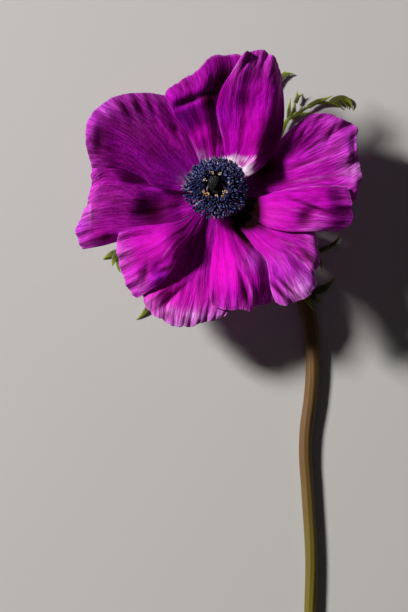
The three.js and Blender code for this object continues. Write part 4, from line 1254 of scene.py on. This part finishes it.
# Inner and Outer are the radii of a whorl's first and last anthers, and the tops their heights.
WHORLS = {
    "stamens_outer": dict(
        Count=440, Inner=6.2 * MM, Outer=9.45 * MM, InnerTop=10.4 * MM, OuterTop=8.2 * MM,
        RootRadius=3.2 * MM, RootHeight=5.2 * MM, AntherLength=1.5 * MM, AntherLean=0.75, Seed=3,
    ),
    "stamens_middle": dict(
        Count=200, Inner=4.6 * MM, Outer=6.8 * MM, InnerTop=11.4 * MM, OuterTop=10.2 * MM,
        RootRadius=3.1 * MM, RootHeight=6.3 * MM, AntherLength=1.4 * MM, AntherLean=0.55, Seed=8,
    ),
    "stamens_inner": dict(
        Count=100, Inner=3.6 * MM, Outer=5.2 * MM, InnerTop=11.4 * MM, OuterTop=11.8 * MM,
        RootRadius=2.9 * MM, RootHeight=7.5 * MM, AntherLength=1.25 * MM, AntherLean=0.4, Seed=12,
    ),
}
for whorl_name, whorl in WHORLS.items():
    whorl_piece = grown(whorl_name + "_anthers", stamen_tree, **whorl)
    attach(whorl_piece, "root")
    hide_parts(whorl_name)

# ---------------------------------------------------------------------------------------------
# Pistil. The dome in the middle is a crowd of small carpels, each with a short dark style, so
# it looks like velvet. Crumbs of cream and orange pollen lie on the stamens round it.
# ---------------------------------------------------------------------------------------------
DOME_FOOT = COLUMN_TOP / np.cos(AXIS_LEAN) + 0.4  # along the leaning axis
DOME_RADIUS, DOME_HEIGHT = 1.7, 3.2
DOME_SEGMENTS, DOME_RINGS = 32, 24
STYLE_SIDES, STYLE_TIP_RADIUS = 5, 0.03 * MM
STYLE_STRAY = (-0.35, -0.35, 0.0), (0.35, 0.35, 0.3)  # how far styles turn from the dome

carpel_skin, tree, output = new_material("downy_carpel")
# Carpels: black-brown and covered in fine grey down, which catches a little light.
tone = add(tree, "ShaderNodeAttribute", attribute_name="tone")
down = add(
    tree,
    "ShaderNodeMix",
    {0: tone.outputs["Fac"], 6: linear("#08070A"), 7: linear("#242129")},
    data_type="RGBA",
)
skin = add(
    tree,
    "ShaderNodeBsdfPrincipled",
    {"Base Color": down, "Roughness": 0.6, "Sheen Weight": 0.3, "Sheen Roughness": 0.3},
)
tree.links.new(skin.outputs[0], output.inputs[0])

tree, sizes_in, output = new_tree(
    "carpel_dome",
    Radius=DOME_RADIUS * MM,
    Height=DOME_HEIGHT * MM,
    AsideX=-0.6 * MM,
    AsideY=1.2 * MM,
    Foot=DOME_FOOT * MM,
    StyleLength=0.42 * MM,
    StyleRadius=0.11 * MM,
    StylesPerSquareMetre=2.2e7,
    Seed=5,
)
size = sizes_in.outputs
ball = add(
    tree,
    "GeometryNodeMeshUVSphere",
    {"Segments": DOME_SEGMENTS, "Rings": DOME_RINGS, "Radius": 1.0},
)
on_ball = add(tree, "GeometryNodeInputPosition")
parts = add(tree, "ShaderNodeSeparateXYZ", {0: on_ball})
upper_half = add(tree, "ShaderNodeMath", {0: parts.outputs[2], 1: 0.0}, operation="MAXIMUM")
flattened = add(
    tree, "ShaderNodeCombineXYZ", {0: parts.outputs[0], 1: parts.outputs[1], 2: upper_half}
)
dome_size = add(
    tree, "ShaderNodeCombineXYZ", {0: size["Radius"], 1: size["Radius"], 2: size["Height"]}
)
dome_point = add(tree, "ShaderNodeVectorMath", {0: flattened, 1: dome_size}, operation="MULTIPLY")
dome_foot = add(
    tree, "ShaderNodeCombineXYZ", {0: size["AsideX"], 1: size["AsideY"], 2: size["Foot"]}
)
dome = add(
    tree, "GeometryNodeSetPosition", {"Geometry": ball, "Position": dome_point, "Offset": dome_foot}
)
spots = add(
    tree,
    "GeometryNodeDistributePointsOnFaces",
    {"Mesh": dome, "Density": size["StylesPerSquareMetre"], "Seed": size["Seed"]},
)
tone_value = add(tree, "FunctionNodeRandomValue", {"Seed": size["Seed"]})
toned = add(
    tree,
    "GeometryNodeStoreNamedAttribute",
    {"Geometry": spots, "Name": "tone", "Value": tone_value},
    data_type="FLOAT",
)
style = add(
    tree,
    "GeometryNodeMeshCone",
    {
        "Vertices": STYLE_SIDES,
        "Side Segments": 1,
        "Fill Segments": 1,
        "Radius Top": STYLE_TIP_RADIUS,
        "Radius Bottom": size["StyleRadius"],
        "Depth": size["StyleLength"],
    },
)
style_stray = add(
    tree,
    "FunctionNodeRandomValue",
    {0: STYLE_STRAY[0], 1: STYLE_STRAY[1], "Seed": size["Seed"]},
    data_type="FLOAT_VECTOR",
)
style_way = add(
    tree, "ShaderNodeVectorMath", {0: spots.outputs["Normal"], 1: style_stray}, operation="ADD"
)
style_stance = add(tree, "FunctionNodeAlignRotationToVector", {"Vector": style_way}, axis="Z")
styles = add(
    tree,
    "GeometryNodeInstanceOnPoints",
    {"Points": toned, "Instance": style, "Rotation": style_stance},
)
finish_tree(tree, output, carpel_skin, dome, styles)
dome_piece = grown("pistil_dome", tree)
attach(dome_piece, "root")
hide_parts("pistil_head")

CLUMP_SHAPE = (-1.0, -1.0, -0.6), (1.0, 1.0, 0.6)  # flatter than they are wide
CRUMB_SHAPES = (0.6, 0.5, 0.5), (1.6, 1.4, 1.1)
CLUMP_SEED, SCATTER_SEED, CRUMB_SEED = 21, 22, 9

pollen_skin, tree, output = new_material("dry_pollen")
# Dry pollen: loose matt crumbs, cream to orange.
tone = add(tree, "ShaderNodeAttribute", attribute_name="tone")
crumb_colour = add(
    tree,
    "ShaderNodeMix",
    {0: tone.outputs["Fac"], 6: linear("#D9C7A0"), 7: linear("#B9751F")},
    data_type="RGBA",
)
skin = add(tree, "ShaderNodeBsdfPrincipled", {"Base Color": crumb_colour, "Roughness": 0.85})
tree.links.new(skin.outputs[0], output.inputs[0])

tree, sizes_in, output = new_tree(
    "pollen_crumbs",
    Count=84,
    Clumps=13,
    Inner=3.2 * MM,
    Outer=4.9 * MM,
    Height=12.1 * MM,
    Spread=0.42 * MM,
    CrumbRadius=0.17 * MM,
    Seed=4,
)
size = sizes_in.outputs
index = add(tree, "GeometryNodeInputIndex")
clump = add(tree, "ShaderNodeMath", {0: index, 1: size["Clumps"]}, operation="MODULO")
out = add(
    tree,
    "FunctionNodeRandomValue",
    {2: size["Inner"], 3: size["Outer"], "ID": clump, "Seed": size["Seed"]},
)
turn = add(tree, "FunctionNodeRandomValue", {2: -np.pi, 3: np.pi, "ID": clump, "Seed": CLUMP_SEED})
flat = add(tree, "ShaderNodeCombineXYZ", {0: out, 2: size["Height"]})
clump_spot = add(
    tree, "ShaderNodeVectorRotate", {"Vector": flat, "Angle": turn}, rotation_type="Z_AXIS"
)
scatter = add(
    tree,
    "FunctionNodeRandomValue",
    {0: CLUMP_SHAPE[0], 1: CLUMP_SHAPE[1], "Seed": SCATTER_SEED},
    data_type="FLOAT_VECTOR",
)
spread = add(tree, "ShaderNodeVectorMath", {0: scatter, "Scale": size["Spread"]}, operation="SCALE")
spot = add(tree, "ShaderNodeVectorMath", {0: spread, 1: clump_spot}, operation="ADD")
spots = add(tree, "GeometryNodePoints", {"Count": size["Count"], "Position": spot})
tone_value = add(tree, "FunctionNodeRandomValue", {"ID": clump, "Seed": size["Seed"]})
toned = add(
    tree,
    "GeometryNodeStoreNamedAttribute",
    {"Geometry": spots, "Name": "tone", "Value": tone_value},
    data_type="FLOAT",
)
crumb = add(tree, "GeometryNodeMeshIcoSphere", {"Radius": size["CrumbRadius"], "Subdivisions": 2})
crumb_size = add(
    tree,
    "FunctionNodeRandomValue",
    {0: CRUMB_SHAPES[0], 1: CRUMB_SHAPES[1], "Seed": CRUMB_SEED},
    data_type="FLOAT_VECTOR",
)
crumbs = add(
    tree, "GeometryNodeInstanceOnPoints", {"Points": toned, "Instance": crumb, "Scale": crumb_size}
)
finish_tree(tree, output, pollen_skin, crumbs)
pollen_piece = grown("pollen_crumbs", tree)
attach(pollen_piece, "root")

# ---------------------------------------------------------------------------------------------
# Setting: a plain pale table top, a soft key light from the upper left and a dim even fill. The
# camera looks straight down on the flower's face.
# ---------------------------------------------------------------------------------------------
TABLE_HALF = 1.5  # m
TOOTH_PER_MM = 0.7
KEY_POWER, FILL_POWER = 44, 0.12  # W
ROOM_COLOUR, ROOM_STRENGTH = (0.93, 0.95, 1.0, 1.0), 0.03

board, tree, output = new_material("pale_table_top")
# Matt painted board: pale warm grey with a faint tooth, and no shine.
place = add(tree, "ShaderNodeTexCoord")
tooth = add(
    tree,
    "ShaderNodeTexNoise",
    {"Vector": place.outputs["Object"], "Scale": TOOTH_PER_MM / MM, "Detail": 2.0},
)
bump = add(tree, "ShaderNodeBump", {"Height": tooth, "Distance": 0.05 * MM, "Strength": 0.3})
skin = add(
    tree,
    "ShaderNodeBsdfPrincipled",
    {"Base Color": linear("#C2BFBA"), "Roughness": 0.8, "Normal": bump},
)
tree.links.new(skin.outputs[0], output.inputs[0])
table_mesh = bpy.data.meshes.new("table_top")
table_mesh.from_pydata(
    [(x * TABLE_HALF, y * TABLE_HALF, 0) for x, y in ((-1, -1), (1, -1), (1, 1), (-1, 1))],
    [],
    [(0, 1, 2, 3)],
)
table_mesh.materials.append(board)
table_top = bpy.data.objects.new("table_top", table_mesh)
bpy.context.scene.collection.objects.link(table_top)


def soft_light(name, azimuth, elevation, distance, size, power):
    """A square area light that faces the flower, from that direction."""
    light = bpy.data.lights.new(name, "AREA")
    light.size = size
    light.energy = power
    lamp = bpy.data.objects.new(name, light)
    turn, rise = np.radians(azimuth), np.radians(elevation)
    way = Vector((np.cos(turn) * np.cos(rise), np.sin(turn) * np.cos(rise), np.sin(rise)))
    lamp.location = Vector(FLOWER_MIDDLE) + distance * way
    lamp.rotation_euler = way.to_track_quat("Z", "Y").to_euler()
    bpy.context.scene.collection.objects.link(lamp)


soft_light("key", azimuth=152, elevation=39, distance=1.8, size=0.28, power=KEY_POWER)
soft_light("fill", azimuth=-60, elevation=65, distance=1.4, size=1.4, power=FILL_POWER)

world = bpy.data.worlds.new("soft_room")
world.use_nodes = True
room = world.node_tree.nodes["Background"]
room.inputs["Color"].default_value = ROOM_COLOUR
room.inputs["Strength"].default_value = ROOM_STRENGTH
bpy.context.scene.world = world
bpy.context.scene.view_settings.view_transform = "Standard"

LENS, SENSOR = 300.0, 36.0  # mm
FRAME_HEIGHT = 183.6  # mm of the flower's plane that the upright frame takes in
FACE_HEIGHT = 24.0  # that plane above the table
FRAME_MIDDLE = (-3.3, -35.4)  # from the flower's middle
camera_data = bpy.data.cameras.new("camera")
camera_data.lens = LENS
camera_data.sensor_width = SENSOR
camera = bpy.data.objects.new("camera", camera_data)
camera.location = FLOWER_MIDDLE + np.array(
    [*FRAME_MIDDLE, FACE_HEIGHT + FRAME_HEIGHT * LENS / SENSOR]
) * MM
bpy.context.scene.collection.objects.link(camera)
bpy.context.scene.camera = camera
